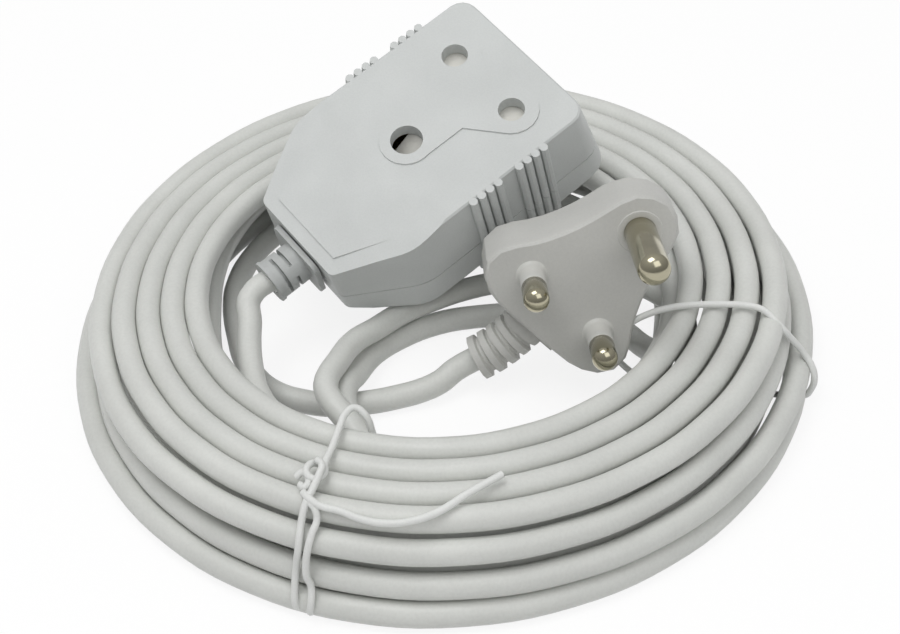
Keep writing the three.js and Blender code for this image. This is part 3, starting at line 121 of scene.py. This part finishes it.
# The coil: four layers, each spiralling in or out at its own steady rate.
COIL_START_ANGLE = -45.0
COIL_RADII = (76.5, 106.3, 77.0, 99.0, 66.7)
COIL_TURNS = (3.403, 3.934, 2.954, 4.417)
LAYER_PITCH = 7.5
FIRST_LAYER_HEIGHT = 2.8
COIL_STEPS_PER_TURN = 24
COIL_SHIFT = (0.064, -0.05)
COIL_SHIFT_START = 70.0
INNER_DIP = 10.0
INNER_DIP_ANGLE = 183.0
INNER_DIP_SPREAD = 38.0
END_TUCK = 1.5
END_TUCK_TURNS = 0.12
CLIMB_TURNS = 0.5
DIP_REACH_TURNS = 0.5

PLUG_LEAD = (
    (-0.9, -25.4, 5.4), (-6.7, -27.3, 4.2), (-12.5, -28.4, 3.6), (-20, -29.8, 3.5), (-31, -30.2, 3.5),
    (-40, -28, 3.5), (-47.5, -24.3, 3.5), (-53.5, -18, 3.5), (-57.8, -9.5, 3.5), (-60.8, 2.1, 3.5),
    (-62.8, 14, 3.5), (-62.6, 25, 3.5), (-58, 40, 3.5), (-46, 55.5, 3.5), (-28, 67, 3.5), (-8, 72, 3.5),
    (14, 71.3, 3.5), (35, 62.5, 3.5), (52, 48, 3.5), (64, 29, 3.5), (68.2, 10, 3.5), (66.3, -8, 3.5),
    (61.2, -26, 3.5), (51, -45.5, 3.5), (35, -59, 3.5), (17, -66.5, 3.5), (0, -68.4, 3.5),
    (-8.5, -66.6, 3.6), (-15.8, -61, 4), (-20.6, -53.8, 5.5), (-24.3, -46, 8), (-26.9, -40, 10),
    (-27.7, -35.6, 10.8), (-26.9, -29.5, 10.7), (-25.2, -24.5, 8.6), (-20.1, -11.8, 4.8),
    (-13.4, -4.7, 3.7), (-1.2, 1.7, 3.5), (12, 3.8, 3.5), (28, 3.4, 3.5), (43, 0.5, 3.5),
    (53.5, -6.5, 3.8), (58.6, -14.5, 4.6), (60.8, -21.5, 8.2), (61.4, -28.5, 10.6), (51.5, -45.5, 10.8),
    (35, -59, 10.8), (17, -66.5, 10.8), (0, -68.6, 10.8), (-8.8, -67, 10.8), (-16.3, -61.8, 11),
    (-21.8, -54.5, 12.7), (-27, -47, 15.4), (-31.2, -40.8, 17.2), (-32.1, -36, 17.6),
    (-29, -26.3, 16.6), (-24.3, -15.1, 14), (-18.8, -8.8, 12.3), (-11.2, -1, 10.9), (-1.5, 5.5, 9.8),
    (7.3, 10, 9), (20, 13.4, 8.6), (36, 14, 8.6), (50, 10.5, 9.6), (60, 5.5, 10.9), (66.8, -1, 11),
    (70.8, -7.6, 10.4), (71, -15.1, 8.8), (70.4, -21.5, 7.2), (69.4, -28.1, 5.2), (67.2, -36, 3.8),
    (63.1, -44.2, 3.5),
)
COUPLER_LEAD = (
    (48.2, 45.4, 23.4), (58, 32.6, 21.8), (65, 17, 20.2), (68.2, 0, 19), (66.3, -17.8, 18.2),
    (59.4, -34.3, 18.1), (48.5, -48.5, 18.1), (34.3, -59.4, 18.1), (17.8, -66.3, 18.1),
    (0, -68.6, 18.1), (-14, -67.2, 18.1), (-27, -62.6, 18.1), (-38, -56, 18.1), (-46, -47.5, 18.1),
    (-51, -37.5, 18), (-53.2, -27.5, 18.1), (-54.1, -18.5, 19.1), (-54.1, -12, 20.5),
)

# Outlets of the two strain reliefs, in their pieces' own millimetres: end, and a point before it.
COUPLER_OUTLET = ((-54, 0, -18.5), (-50, 0, -18.5))
PLUG_OUTLET = ((-2.65, -31.7, -11.2), (-1.6, -28.4, -11.2))
OUTLET_DEPTH = 5  # from a relief's end to where the cord starts inside it


def coil_point(turn):
    """The coil's centre line after `turn` turns from its start on the lowest layer."""
    total = sum(COIL_TURNS)
    reversals = [sum(COIL_TURNS[: k + 1]) for k in range(len(COIL_TURNS) - 1)]
    radius = COIL_RADII[0]
    done = 0.0
    for k, turns in enumerate(COIL_TURNS):
        share = min(max((turn - done) / turns, 0), 1)
        radius += (COIL_RADII[k + 1] - COIL_RADII[k]) * share
        done += turns
    z = CORD_RADIUS
    for k, reversal in enumerate(reversals):
        step = LAYER_PITCH - (CORD_RADIUS - FIRST_LAYER_HEIGHT if k == 0 else 0)
        z += step * min(max((turn - reversal) / CLIMB_TURNS + 0.5, 0), 1)
    if abs(turn - reversals[1]) < DIP_REACH_TURNS:
        inner_angle = (COIL_START_ANGLE - 360 * reversals[1]) % 360
        off = (turn - reversals[1]) * 360 + INNER_DIP_ANGLE - inner_angle
        radius -= INNER_DIP * math.exp(-((off / INNER_DIP_SPREAD) ** 2))
    tucked = max(0, 1 - (total - turn) / END_TUCK_TURNS)
    radius -= END_TUCK * tucked * tucked
    angle = math.radians(COIL_START_ANGLE - 360 * turn)
    shift = radius - COIL_SHIFT_START
    return Vector((
        radius * math.cos(angle) + COIL_SHIFT[0] * shift,
        radius * math.sin(angle) + COIL_SHIFT[1] * shift,
        z,
    ))


def outlet(matrix, points):
    """Points on a relief's axis: one inside it, and one a cord diameter past its end."""
    end, before = (matrix @ Vector(p) for p in points)
    out = (end - before).normalized()
    return [end - out * OUTLET_DEPTH, end + out * CORD_DIAMETER]


def cord_route():
    """The whole cord's centre line, from the coupler to the plug."""
    total = sum(COIL_TURNS)
    steps = round(total * COIL_STEPS_PER_TURN)
    coil = [coil_point(total * k / steps) for k in range(steps + 1)]
    coupler = outlet(COUPLER, COUPLER_OUTLET)
    plug = outlet(PLUG, PLUG_OUTLET)
    coupler_lead = [Vector(p) for p in reversed(COUPLER_LEAD)]
    plug_lead = [Vector(p) for p in reversed(PLUG_LEAD)]
    return coupler + coupler_lead + coil[::-1] + plug_lead + plug[::-1]


def add_spline(data, points):
    """Adds one smooth open line through points in millimetres."""
    spline = data.splines.new("BEZIER")
    spline.bezier_points.add(len(points) - 1)
    for bezier, point in zip(spline.bezier_points, points):
        bezier.co = at(point)
        bezier.handle_left_type = "AUTO"
        bezier.handle_right_type = "AUTO"


def curve_piece(name, points, radius, sides, resolution):
    """A smooth round tube through points in millimetres, as a curve object."""
    data = bpy.data.curves.new(name, "CURVE")
    data.dimensions = "3D"
    data.bevel_depth = radius * MM
    data.bevel_resolution = sides
    data.resolution_u = resolution
    data.use_fill_caps = True
    add_spline(data, points)
    piece = bpy.data.objects.new(name, data)
    bpy.context.collection.objects.link(piece)
    return piece


def curve_length(piece):
    """The length of a curve's centre line in metres."""
    bare = piece.data.copy()
    bare.bevel_depth = 0
    probe = bpy.data.objects.new("probe", bare)
    bpy.context.collection.objects.link(probe)
    bpy.context.view_layer.update()
    mesh = probe.evaluated_get(bpy.context.evaluated_depsgraph_get()).to_mesh()
    places = [v.co.copy() for v in mesh.vertices]
    length = sum((b - a).length for a, b in zip(places, places[1:]))
    probe.to_mesh_clear()
    bpy.data.objects.remove(probe)
    bpy.data.curves.remove(bare)
    return length


# ------------------------------------------------------------------------------ materials


class Shader:
    """A material with a Principled shader, and helpers that add nodes to it."""

    def __init__(self, name):
        self.material = bpy.data.materials.new(name)
        self.material.use_nodes = True
        self.tree = self.material.node_tree
        self.shader = self.tree.nodes["Principled BSDF"]
        self.coordinates = self.tree.nodes.new("ShaderNodeTexCoord")

    def set(self, values):
        for name, value in values.items():
            self.shader.inputs[name].default_value = value

    def noise(self, scale, detail=3.0, roughness=0.5):
        node = self.tree.nodes.new("ShaderNodeTexNoise")
        node.inputs["Scale"].default_value = scale
        node.inputs["Detail"].default_value = detail
        node.inputs["Roughness"].default_value = roughness
        self.tree.links.new(self.coordinates.outputs["Object"], node.inputs["Vector"])
        return node.outputs["Fac"]

    def ramp(self, source, stops):
        node = self.tree.nodes.new("ShaderNodeValToRGB")
        elements = node.color_ramp.elements
        while len(elements) < len(stops):
            elements.new(0.5)
        for element, (place, value) in zip(elements, stops):
            element.position = place
            colour = value if isinstance(value, tuple) else (value, value, value)
            element.color = (*colour, 1)
        self.tree.links.new(source, node.inputs["Fac"])
        return node.outputs["Color"]

    def mix(self, factor, first, second, blend="MIX"):
        node = self.tree.nodes.new("ShaderNodeMix")
        node.data_type = "RGBA"
        node.blend_type = blend
        for socket, value in ((node.inputs[0], factor), (node.inputs[6], first), (node.inputs[7], second)):
            if isinstance(value, bpy.types.NodeSocket):
                self.tree.links.new(value, socket)
            elif isinstance(value, tuple):
                socket.default_value = (*value, 1)
            else:
                socket.default_value = value
        return node.outputs[2]

    def bump(self, sources):
        """Chains bumps: (height socket, strength, distance in millimetres)."""
        normal = None
        for height, strength, distance in sources:
            node = self.tree.nodes.new("ShaderNodeBump")
            node.inputs["Strength"].default_value = strength
            node.inputs["Distance"].default_value = distance * MM
            self.tree.links.new(height, node.inputs["Height"])
            if normal:
                self.tree.links.new(normal, node.inputs["Normal"])
            normal = node.outputs["Normal"]
        self.tree.links.new(normal, self.shader.inputs["Normal"])

    def colour(self, source):
        self.tree.links.new(source, self.shader.inputs["Base Color"])

    def roughness(self, source):
        self.tree.links.new(source, self.shader.inputs["Roughness"])


def shade(colour, factor):
    """A colour made darker or lighter."""
    return tuple(min(1, c * factor) for c in colour)


# Sizes of the patterns, as noise scales: the tone's slow drift, the gloss, the moulding's low waves,
# the fine marks of metal and its tarnish.
TONE_SCALE = 45
GLOSS_SCALE = 160
WAVE_SCALE = 220
MARK_SCALE = 1500
TARNISH_SCALE = 120
GRAIN_STRENGTH = 0.35
WAVE_STRENGTH = 0.12
WAVE_HEIGHT = 0.12
MARK_STRENGTH = 0.15
MARK_HEIGHT = 0.03
PLASTIC_GLOSS = 0.45


def plastic(name, colour, roughness, grain=0.05, grain_size=0.5, mottle=0.04):
    """Moulded plastic: a fine eroded grain, a slow drift of tone and uneven gloss."""
    s = Shader(name)
    slow = s.noise(TONE_SCALE, 2)
    fine = s.noise(1 / (grain_size * MM), 4, 0.6)
    tone = s.ramp(slow, [(0.3, shade(colour, 1 - mottle)), (0.7, shade(colour, 1 + mottle))])
    speck = s.ramp(fine, [(0.35, 1 - mottle), (0.6, 1.0)])
    s.colour(s.mix(1.0, tone, speck, "MULTIPLY"))
    s.roughness(s.ramp(s.noise(GLOSS_SCALE, 3), [(0.3, roughness - 0.06), (0.75, roughness + 0.08)]))
    s.set({"Specular IOR Level": PLASTIC_GLOSS})
    s.bump([(fine, GRAIN_STRENGTH, grain), (s.noise(WAVE_SCALE, 2), WAVE_STRENGTH, WAVE_HEIGHT)])
    return s.material


def metal(name, colour, roughness):
    """Plated or drawn metal: fine marks and a little tarnish."""
    s = Shader(name)
    marks = s.noise(MARK_SCALE, 5, 0.7)
    tarnish = s.noise(TARNISH_SCALE, 3)
    s.colour(s.ramp(tarnish, [(0.35, shade(colour, 0.86)), (0.65, colour)]))
    s.roughness(s.ramp(marks, [(0.3, roughness * 0.7), (0.8, roughness * 1.5)]))
    s.set({"Metallic": 1.0})
    s.bump([(marks, MARK_STRENGTH, MARK_HEIGHT)])
    return s.material


CASING_GREY = (0.63, 0.65, 0.64)
PLUG_GREY = (0.58, 0.58, 0.555)
CORD_GREY = (0.70, 0.71, 0.68)
TIE_WHITE = (0.80, 0.81, 0.79)
SHUTTER_WHITE = (0.76, 0.75, 0.70)
SLEEVE_GREY = (0.62, 0.62, 0.59)
NICKEL = (0.46, 0.43, 0.32)
ZINC = (0.56, 0.58, 0.60)
BRASS = (0.72, 0.50, 0.20)
CORE_BROWN = (0.20, 0.07, 0.03)
CORE_BLUE = (0.03, 0.12, 0.42)
CORE_GREEN = (0.15, 0.40, 0.05)

MATERIALS = {
    "casing": plastic("casing_grey", CASING_GREY, 0.46),
    # The strain relief is the casing grey darkened to 0.8: painted shade for a part that faces down and
    # away from the light.
    "relief": plastic("relief_grey_painted_shade", shade(CASING_GREY, 0.8), 0.5),
    "plug": plastic("plug_grey", PLUG_GREY, 0.5, grain=0.07, grain_size=0.7),
    "cord": plastic("cord_grey", CORD_GREY, 0.42, grain=0.03, grain_size=0.9, mottle=0.045),
    "shutter": plastic("shutter_white", SHUTTER_WHITE, 0.45),
    "sleeve": plastic("sleeve_grey", SLEEVE_GREY, 0.4, grain=0.02),
    "tie": plastic("tie_white", TIE_WHITE, 0.42, grain=0.03),
    "pin": metal("pin_nickel", NICKEL, 0.16),
    "steel": metal("zinc_steel", ZINC, 0.3),
    "brass": metal("contact_brass", BRASS, 0.3),
    "live": plastic("core_brown", CORE_BROWN, 0.45),
    "neutral": plastic("core_blue", CORE_BLUE, 0.45),
    "earth": plastic("core_green", CORE_GREEN, 0.45),
}

NODE_MATERIALS = {
    "casing": ["coupler_front_shell", "coupler_back_shell", "cord_clamp"],
    "relief": ["coupler_strain_relief"],
    "plug": ["plug_body"],
    "cord": ["coupler_cord_tail", "plug_cord_tail"],
    "shutter": ["front_shutter", "back_shutter", "pin_bridge"],
    "sleeve": ["live_pin_sleeve", "neutral_pin_sleeve"],
    "pin": ["earth_pin", "live_pin", "neutral_pin"],
    "steel": [
        "front_shutter_spring", "back_shutter_spring", "live_terminal_screw", "neutral_terminal_screw",
        "earth_terminal_screw", "clamp_screw_left", "clamp_screw_right", "shell_screw_1", "shell_screw_2",
        "shell_screw_3", "shell_screw_4",
    ],
    "brass": ["live_contact", "neutral_contact", "earth_contact"],
    "live": ["coupler_live_core", "plug_live_core"],
    "neutral": ["coupler_neutral_core", "plug_neutral_core"],
    "earth": ["coupler_earth_core", "plug_earth_core"],
}


def give_material(piece, key):
    piece.data.materials.clear()
    piece.data.materials.append(MATERIALS[key])


for key, names in NODE_MATERIALS.items():
    for node_name in names:
        give_material(NODES[node_name], key)

# ------------------------------------------------------------------------------ cord pieces


def make_cord():
    cord = curve_piece("cord", cord_route(), CORD_RADIUS, sides=4, resolution=5)
    give_material(cord, "cord")
    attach(cord, "lead")
    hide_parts("cord_coil", "plug_lead", "coupler_lead")
    return cord


cord = make_cord()

# ------------------------------------------------------------------------------ rounded casings

PARTING_HEIGHT = -19.5
PARTING_TOLERANCE = 0.05
WELD_DISTANCE = 0.002
FLAT_ANGLE = math.radians(1)
ROUNDED_ANGLE = math.radians(32)
ROUNDING_STEPS = 2
FLAT_FACE_WEIGHT = 60
COUPLER_INVERSE = COUPLER.inverted()


def on_parting(vertex):
    """Whether a vertex lies on the plane where the coupler's two shells meet."""
    place = COUPLER_INVERSE @ (vertex.co / MM + ORIGIN)
    return abs(place.z - PARTING_HEIGHT) < PARTING_TOLERANCE


def mark_edges(mesh):
    """Marks the edges to round, and leaves those of the parting line sharp and tight."""
    weight = mesh.edges.layers.float.new("bevel_weight_edge")
    for edge in mesh.edges:
        if edge.calc_face_angle(0) < ROUNDED_ANGLE:
            continue
        if all(on_parting(v) for v in edge.verts):
            edge.smooth = False
        else:
            edge[weight] = 1


def rounded_copy(node_name, name, key, width):
    """A CAD node's mesh as a new piece, welded, shaded smoothly and with its edges rounded."""
    source = NODES[node_name]
    mesh = bmesh.new()
    mesh.from_mesh(source.data)
    bmesh.ops.remove_doubles(mesh, verts=mesh.verts, dist=WELD_DISTANCE * MM)
    bmesh.ops.dissolve_limit(mesh, angle_limit=FLAT_ANGLE, verts=mesh.verts, edges=mesh.edges)
    for face in mesh.faces:
        face.smooth = True
    mark_edges(mesh)
    data = bpy.data.meshes.new(name)
    mesh.to_mesh(data)
    mesh.free()
    piece = bpy.data.objects.new(name, data)
    bpy.context.collection.objects.link(piece)
    bevel = piece.modifiers.new("edges", "BEVEL")
    bevel.width = width * MM
    bevel.segments = ROUNDING_STEPS
    bevel.limit_method = "WEIGHT"
    bevel.use_clamp_overlap = True
    weighted = piece.modifiers.new("flat_faces", "WEIGHTED_NORMAL")
    weighted.mode = "FACE_AREA"
    weighted.weight = FLAT_FACE_WEIGHT
    weighted.keep_sharp = True
    give_material(piece, key)
    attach(piece, source["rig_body"])
    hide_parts(node_name)
    return piece


shells = [
    rounded_copy("coupler_front_shell", "coupler_front_skin", "casing", 0.35),
    rounded_copy("coupler_back_shell", "coupler_back_skin", "casing", 0.35),
    rounded_copy("coupler_strain_relief", "coupler_relief_skin", "relief", 0.3),
    rounded_copy("plug_body", "plug_skin", "plug", 0.5),
]

# ------------------------------------------------------------------------------ pins


LATHE_SIDES = 48
LATHE_SHARP_ANGLE = math.radians(40)


def lathe_ring(mesh, matrix, radius, z):
    """One ring of a turned piece, or its single point on the axis."""
    if radius == 0:
        return [mesh.verts.new(at(matrix @ Vector((0, 0, z))))]
    angles = [2 * math.pi * k / LATHE_SIDES for k in range(LATHE_SIDES)]
    places = [Vector((radius * math.cos(a), radius * math.sin(a), z)) for a in angles]
    return [mesh.verts.new(at(matrix @ place)) for place in places]


def lathe(name, matrix, profile, key):
    """A piece turned about its own z axis from (radius, z) points in millimetres."""
    mesh = bmesh.new()
    rings = [lathe_ring(mesh, matrix, radius, z) for radius, z in profile]
    for low, high in zip(rings, rings[1:]):
        for k in range(LATHE_SIDES):
            after = k + 1
            corners = [low[k % len(low)], low[after % len(low)]]
            corners += [high[after % len(high)], high[k % len(high)]]
            mesh.faces.new(list(dict.fromkeys(corners)))
    bmesh.ops.recalc_face_normals(mesh, faces=mesh.faces)
    data = bpy.data.meshes.new(name)
    mesh.to_mesh(data)
    mesh.free()
    data.shade_smooth()
    data.set_sharp_from_angle(angle=LATHE_SHARP_ANGLE)
    piece = bpy.data.objects.new(name, data)
    bpy.context.collection.objects.link(piece)
    give_material(piece, key)
    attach(piece, "lead")
    return piece


EARTH_PITCH = 28.58
LIVE_HALF = 12.7
EARTH_RADIUS = 8.71 / 2
EARTH_LENGTH = 28.6
LIVE_RADIUS = 7.06 / 2
LIVE_LENGTH = 18.6
SLEEVE_LENGTH = 8.3
SLEEVE_WALL = 0.5
PIN_ROOT = 2.5
PIN_ROOT_DEPTH = 10
PLUG_WALL = 3.4
PIN_EDGE = 0.15  # broken edge of the metal next to a sleeve
PIN_EASE = 0.05  # metal of a sleeved pin, inside the sleeve's outside
PIN_EDGE_HEIGHT = 0.02
SEAT_RADIUS = 6.2
SEAT_HEIGHT = 0.22
SEAT_DEPTH = 0.6
SEAT_EASE = 0.02  # between the seat and the pin, and under the seat's outer edge
SEAT_EDGE = 0.2
SEAT_LIP = 0.25
SEAT_LIP_HEIGHT = 0.1
NOSE_SHARE = 0.75  # of a pin's radius, taken by its round nose
NOSE_STEPS = 10

# The flare at a sleeve's foot: how far past the sleeve's outside, and height over the plug's face.
SLEEVE_FLARE = ((0, -0.4), (1.0, -0.1), (0.9, 0.04), (0.45, 0.3), (0.18, 0.9), (0.06, 2))
SLEEVE_EDGE = 0.2


def dome(radius, length):
    """The round nose of a pin, from its side to its tip."""
    nose = radius * NOSE_SHARE
    points = []
    for k in range(NOSE_STEPS + 1):
        angle = math.pi / 2 * k / NOSE_STEPS
        across = radius * math.cos(angle) if k < NOSE_STEPS else 0
        points.append((across, length - nose + nose * math.sin(angle)))
    return points


def pin_root(radius):
    """A pin's narrow root in the plug, widening to `radius` at the plug's wall."""
    depth = -PIN_ROOT_DEPTH
    return [(0, depth), (PIN_ROOT, depth), (PIN_ROOT, -PLUG_WALL), (radius, -PLUG_WALL)]


def sleeved_pin(radius):
    """The profile of a live or neutral pin, narrower under its sleeve."""
    waist = radius - SLEEVE_WALL - FIT_GAP
    edge = [
        (waist, SLEEVE_LENGTH), (radius - PIN_EDGE, SLEEVE_LENGTH + PIN_EDGE_HEIGHT),
        (radius - PIN_EASE, SLEEVE_LENGTH + SLEEVE_EDGE),
    ]
    return pin_root(waist) + edge + dome(radius - PIN_EASE, LIVE_LENGTH)


def sleeve_profile(radius):
    inner = radius - SLEEVE_WALL
    foot = -PLUG_WALL + FIT_GAP
    flare = [(radius + out, height) for out, height in SLEEVE_FLARE]
    end = [(radius, SLEEVE_LENGTH - SLEEVE_EDGE), (radius - SLEEVE_EDGE, SLEEVE_LENGTH)]
    return [(inner, foot), (radius, foot)] + flare + end + [(inner, SLEEVE_LENGTH), (inner, foot)]


def seat_profile(radius):
    """The low round seat of the earth pin on the plug's face."""
    inner = radius + SEAT_EASE
    return [
        (inner, -SEAT_DEPTH), (inner, SEAT_LIP_HEIGHT), (radius + SEAT_LIP, SEAT_HEIGHT),
        (SEAT_RADIUS - SEAT_EDGE, SEAT_HEIGHT), (SEAT_RADIUS, SEAT_EASE), (SEAT_RADIUS, -SEAT_DEPTH),
        (inner, -SEAT_DEPTH),
    ]


def make_pins():
    pieces = []
    places = {"earth": (0, EARTH_PITCH), "live": (-LIVE_HALF, 0), "neutral": (LIVE_HALF, 0)}
    for name, (x, y) in places.items():
        matrix = PLUG @ Matrix.Translation((x, y, 0))
        if name == "earth":
            profile = pin_root(EARTH_RADIUS) + dome(EARTH_RADIUS, EARTH_LENGTH)
        else:
            profile = sleeved_pin(LIVE_RADIUS)
        pin = lathe(name + "_pin_metal", matrix, profile, "pin")
        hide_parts(name + "_pin")
        pieces.append(pin)
        if name == "earth":
            seat = lathe("earth_pin_seat", matrix, seat_profile(EARTH_RADIUS), "plug")
            pieces.append(seat)
            continue
        sleeve = lathe(name + "_sleeve", matrix, sleeve_profile(LIVE_RADIUS), "sleeve")
        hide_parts(name + "_pin_sleeve")
        pieces.append(sleeve)
    return pieces


pins = make_pins()

# ------------------------------------------------------------------------------ shutter springs


def make_spring(side):
    """A return spring: a smoothly shaded copy of its CAD node's mesh."""
    source = NODES[side + "_shutter_spring"]
    data = source.data.copy()
    data.shade_smooth()
    piece = bpy.data.objects.new(side + "_return_spring", data)
    bpy.context.collection.objects.link(piece)
    give_material(piece, "steel")
    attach(piece, "lead")
    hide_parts(side + "_shutter_spring")
    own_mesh(piece)
    return piece


springs = [make_spring("front"), make_spring("back")]

# ------------------------------------------------------------------------------ ties

TIE_RADIUS = 0.95

# Each tie: its wires' centre lines, in millimetres from the coil's centre. The first goes once
# round the strands; the others are its second strand, its free end and the turns of its knot.
FRONT_TIE = (
    (
        (-31.2, -78.4, 31.2), (-33.6, -79.6, 32.4), (-34.4, -82.2, 32.2), (-32.6, -83.6, 31.4),
        (-30.2, -81.6, 31), (-30.2, -78.9, 31), (-28.5, -72.9, 30.6), (-26.4, -65.6, 31.2),
        (-25.2, -62, 31.4), (-22.8, -59.9, 31.5), (-20.2, -61.2, 30), (-18.8, -62.4, 25),
        (-18, -62.6, 18), (-17.6, -62.6, 10), (-17.8, -62.9, 3.8), (-18.6, -64, 1.5), (-20.5, -67.5, 0.95),
        (-28, -80, 0.95), (-35.5, -94, 0.95), (-37.8, -98.2, 1.5), (-39.2, -100.8, 3.6),
        (-39.5, -100.9, 6.6), (-39.2, -99.2, 9.8), (-38.6, -97.4, 13.6), (-38, -97, 17),
        (-37.3, -97, 20.4), (-36.8, -95.9, 23), (-36, -92.5, 26), (-34.6, -89.4, 29.4), (-33, -86.6, 30.8),
        (-31.2, -82.9, 32.4), (-30.6, -80.6, 33.2), (-32, -79.4, 34),
    ),
    (
        (-34.2, -87.2, 30.2), (-33.6, -89.6, 29.8), (-32.4, -91.1, 28.4), (-32.2, -92.6, 26.4),
        (-33.5, -95.2, 24.6), (-34.6, -97.3, 22.2), (-35.6, -98.6, 17.6), (-35.8, -99.6, 13.6),
        (-35.1, -100, 10.6), (-35.4, -102.6, 7), (-35.9, -102.6, 4), (-35.8, -101, 1.8), (-35, -98.4, 0.95),
        (-34, -95, 0.95),
    ),
    (
        (-35.4, -86.6, 30), (-33.4, -89.4, 30.4), (-31.2, -90.8, 29.6), (-26.3, -92.7, 29.4),
        (-21.6, -95, 28.8), (-15.2, -97, 28.8), (-9.5, -97.4, 29.4), (-2.9, -96, 30.4), (4.7, -91, 30.8),
        (13.6, -86, 31.6),
    ),
    (
        (-37.2, -82, 30.6), (-35.4, -81.4, 31.6), (-34, -83.2, 31), (-34.9, -85.4, 30.6),
        (-36.2, -84.2, 30.2),
    ),
)
RIGHT_TIE = (
    (
        (49.6, -21.6, 8), (47.6, -24.6, 14.6), (49, -26.8, 20.4), (53.2, -27, 25.4), (58.4, -27.4, 28.8),
        (64, -27, 30), (70.2, -27, 30.4), (77.3, -27.4, 30.4), (83.6, -28.6, 30.6), (88.2, -29.8, 29.8),
        (92.4, -33.4, 27), (96.8, -33.4, 21), (100.6, -33.2, 15.4), (102.6, -35.4, 12.6),
        (103.4, -36.8, 9.4), (103, -36.6, 4.6), (101.8, -36, 1.9), (99, -35, 0.95),
        (80, -31, 0.95), (64, -29.2, 0.95),
        (59.6, -27.4, 1.05), (56, -24.4, 1.8), (52.4, -21.8, 3.8), (50, -21.4, 7),
    ),
)


def make_tie(node_name, wires):
    tie = curve_piece(node_name + "_wire", wires[0], TIE_RADIUS, sides=3, resolution=6)
    for points in wires[1:]:
        add_spline(tie.data, points)
    give_material(tie, "tie")
    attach(tie, "lead")
    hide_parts(node_name)
    return tie


ties = [make_tie("front_tie", FRONT_TIE), make_tie("right_tie", RIGHT_TIE)]

curve_length(cord)

# ------------------------------------------------------------------------------ studio


# The room: bright overhead and behind the object, darker towards the camera.
SKY_SLOPE = (-0.15, 0.25, 0.95)
SKY_DARK = 0.04
SKY_BRIGHT = 0.62
WHITE = (1, 1, 1, 1)

# The floor: the colour that takes the shadow, and the share of plain white seen over it.
FLOOR_SIZE = 6
FLOOR_COLOUR = (0.82, 0.82, 0.82, 1)
FLOOR_ROUGHNESS = 0.9
FLOOR_GLOSS = 0.1
FLOOR_GLOW = 1.06
FLOOR_GLOW_SHARE = 0.8

# Lamps: place in metres, width and power.
LAMPS = {
    "key": ((-0.25, -0.12, 1.05), 0.6, 4.2),
    "fill": ((0.35, -0.75, 0.85), 0.7, 2.0),
}
LAMP_AIM = (0, 0, -0.04)


def math_node(tree, operation, first, second):
    """A clamped sum or product of a socket and another socket or a number."""
    node = tree.nodes.new("ShaderNodeMath")
    node.operation = operation
    node.use_clamp = True
    tree.links.new(first, node.inputs[0])
    if isinstance(second, bpy.types.NodeSocket):
        tree.links.new(second, node.inputs[1])
    else:
        node.inputs[1].default_value = second
    return node.outputs[0]


def blend_shaders(tree, share, first, second, output):
    """Mixes two shaders by `share` and joins the result to a tree's output."""
    blend = tree.nodes.new("ShaderNodeMixShader")
    tree.links.new(share, blend.inputs[0])
    tree.links.new(first, blend.inputs[1])
    tree.links.new(second, blend.inputs[2])
    tree.links.new(blend.outputs[0], tree.nodes[output].inputs["Surface"])


def floor_material():
    """White where it is looked at, also in a mirror or through glass, with the shadow kept."""
    material = bpy.data.materials.new("white_floor")
    material.use_nodes = True
    tree = material.node_tree
    shader = tree.nodes["Principled BSDF"]
    shader.inputs["Base Color"].default_value = FLOOR_COLOUR
    shader.inputs["Roughness"].default_value = FLOOR_ROUGHNESS
    shader.inputs["Specular IOR Level"].default_value = FLOOR_GLOSS
    glow = tree.nodes.new("ShaderNodeEmission")
    glow.inputs["Strength"].default_value = FLOOR_GLOW
    glow.inputs["Color"].default_value = WHITE
    path = tree.nodes.new("ShaderNodeLightPath").outputs
    seen = math_node(tree, "ADD", path["Is Camera Ray"], path["Is Glossy Ray"])
    seen = math_node(tree, "ADD", seen, path["Is Transmission Ray"])
    share = math_node(tree, "MULTIPLY", seen, FLOOR_GLOW_SHARE)
    blend_shaders(tree, share, shader.outputs[0], glow.outputs[0], "Material Output")
    return material


def make_floor():
    bpy.ops.mesh.primitive_plane_add(size=FLOOR_SIZE, location=at((0, 0, 0)))
    floor = bpy.context.object
    floor.name = "floor"
    floor.data.materials.append(floor_material())


def make_world():
    """A room that lights the object from above, and is plain white where the camera sees it."""
    world = bpy.data.worlds.new("studio")
    bpy.context.scene.world = world
    world.use_nodes = True
    tree = world.node_tree
    light = tree.nodes["Background"]
    light.inputs["Color"].default_value = WHITE
    coordinates = tree.nodes.new("ShaderNodeTexCoord")
    slope = tree.nodes.new("ShaderNodeVectorMath")
    slope.operation = "DOT_PRODUCT"
    slope.inputs[1].default_value = SKY_SLOPE
    tree.links.new(coordinates.outputs["Generated"], slope.inputs[0])
    level = tree.nodes.new("ShaderNodeMapRange")
    level.inputs["From Min"].default_value = -1
    level.inputs["From Max"].default_value = 1
    level.inputs["To Min"].default_value = SKY_DARK
    level.inputs["To Max"].default_value = SKY_BRIGHT
    tree.links.new(slope.outputs["Value"], level.inputs["Value"])
    tree.links.new(level.outputs["Result"], light.inputs["Strength"])
    white = tree.nodes.new("ShaderNodeBackground")
    white.inputs["Color"].default_value = WHITE
    white.inputs["Strength"].default_value = 1
    path = tree.nodes.new("ShaderNodeLightPath").outputs
    blend_shaders(tree, path["Is Camera Ray"], light.outputs[0], white.outputs[0], "World Output")


def area_light(name, place, size, energy):
    data = bpy.data.lights.new(name, "AREA")
    data.size = size
    data.energy = energy
    lamp = bpy.data.objects.new(name, data)
    bpy.context.collection.objects.link(lamp)
    lamp.location = place
    lamp.rotation_euler = (Vector(LAMP_AIM) - Vector(place)).to_track_quat("-Z", "Y").to_euler()


make_floor()
make_world()
for lamp_name, (place, size, energy) in LAMPS.items():
    area_light(lamp_name, place, size, energy)

bpy.context.scene.view_settings.view_transform = "Standard"
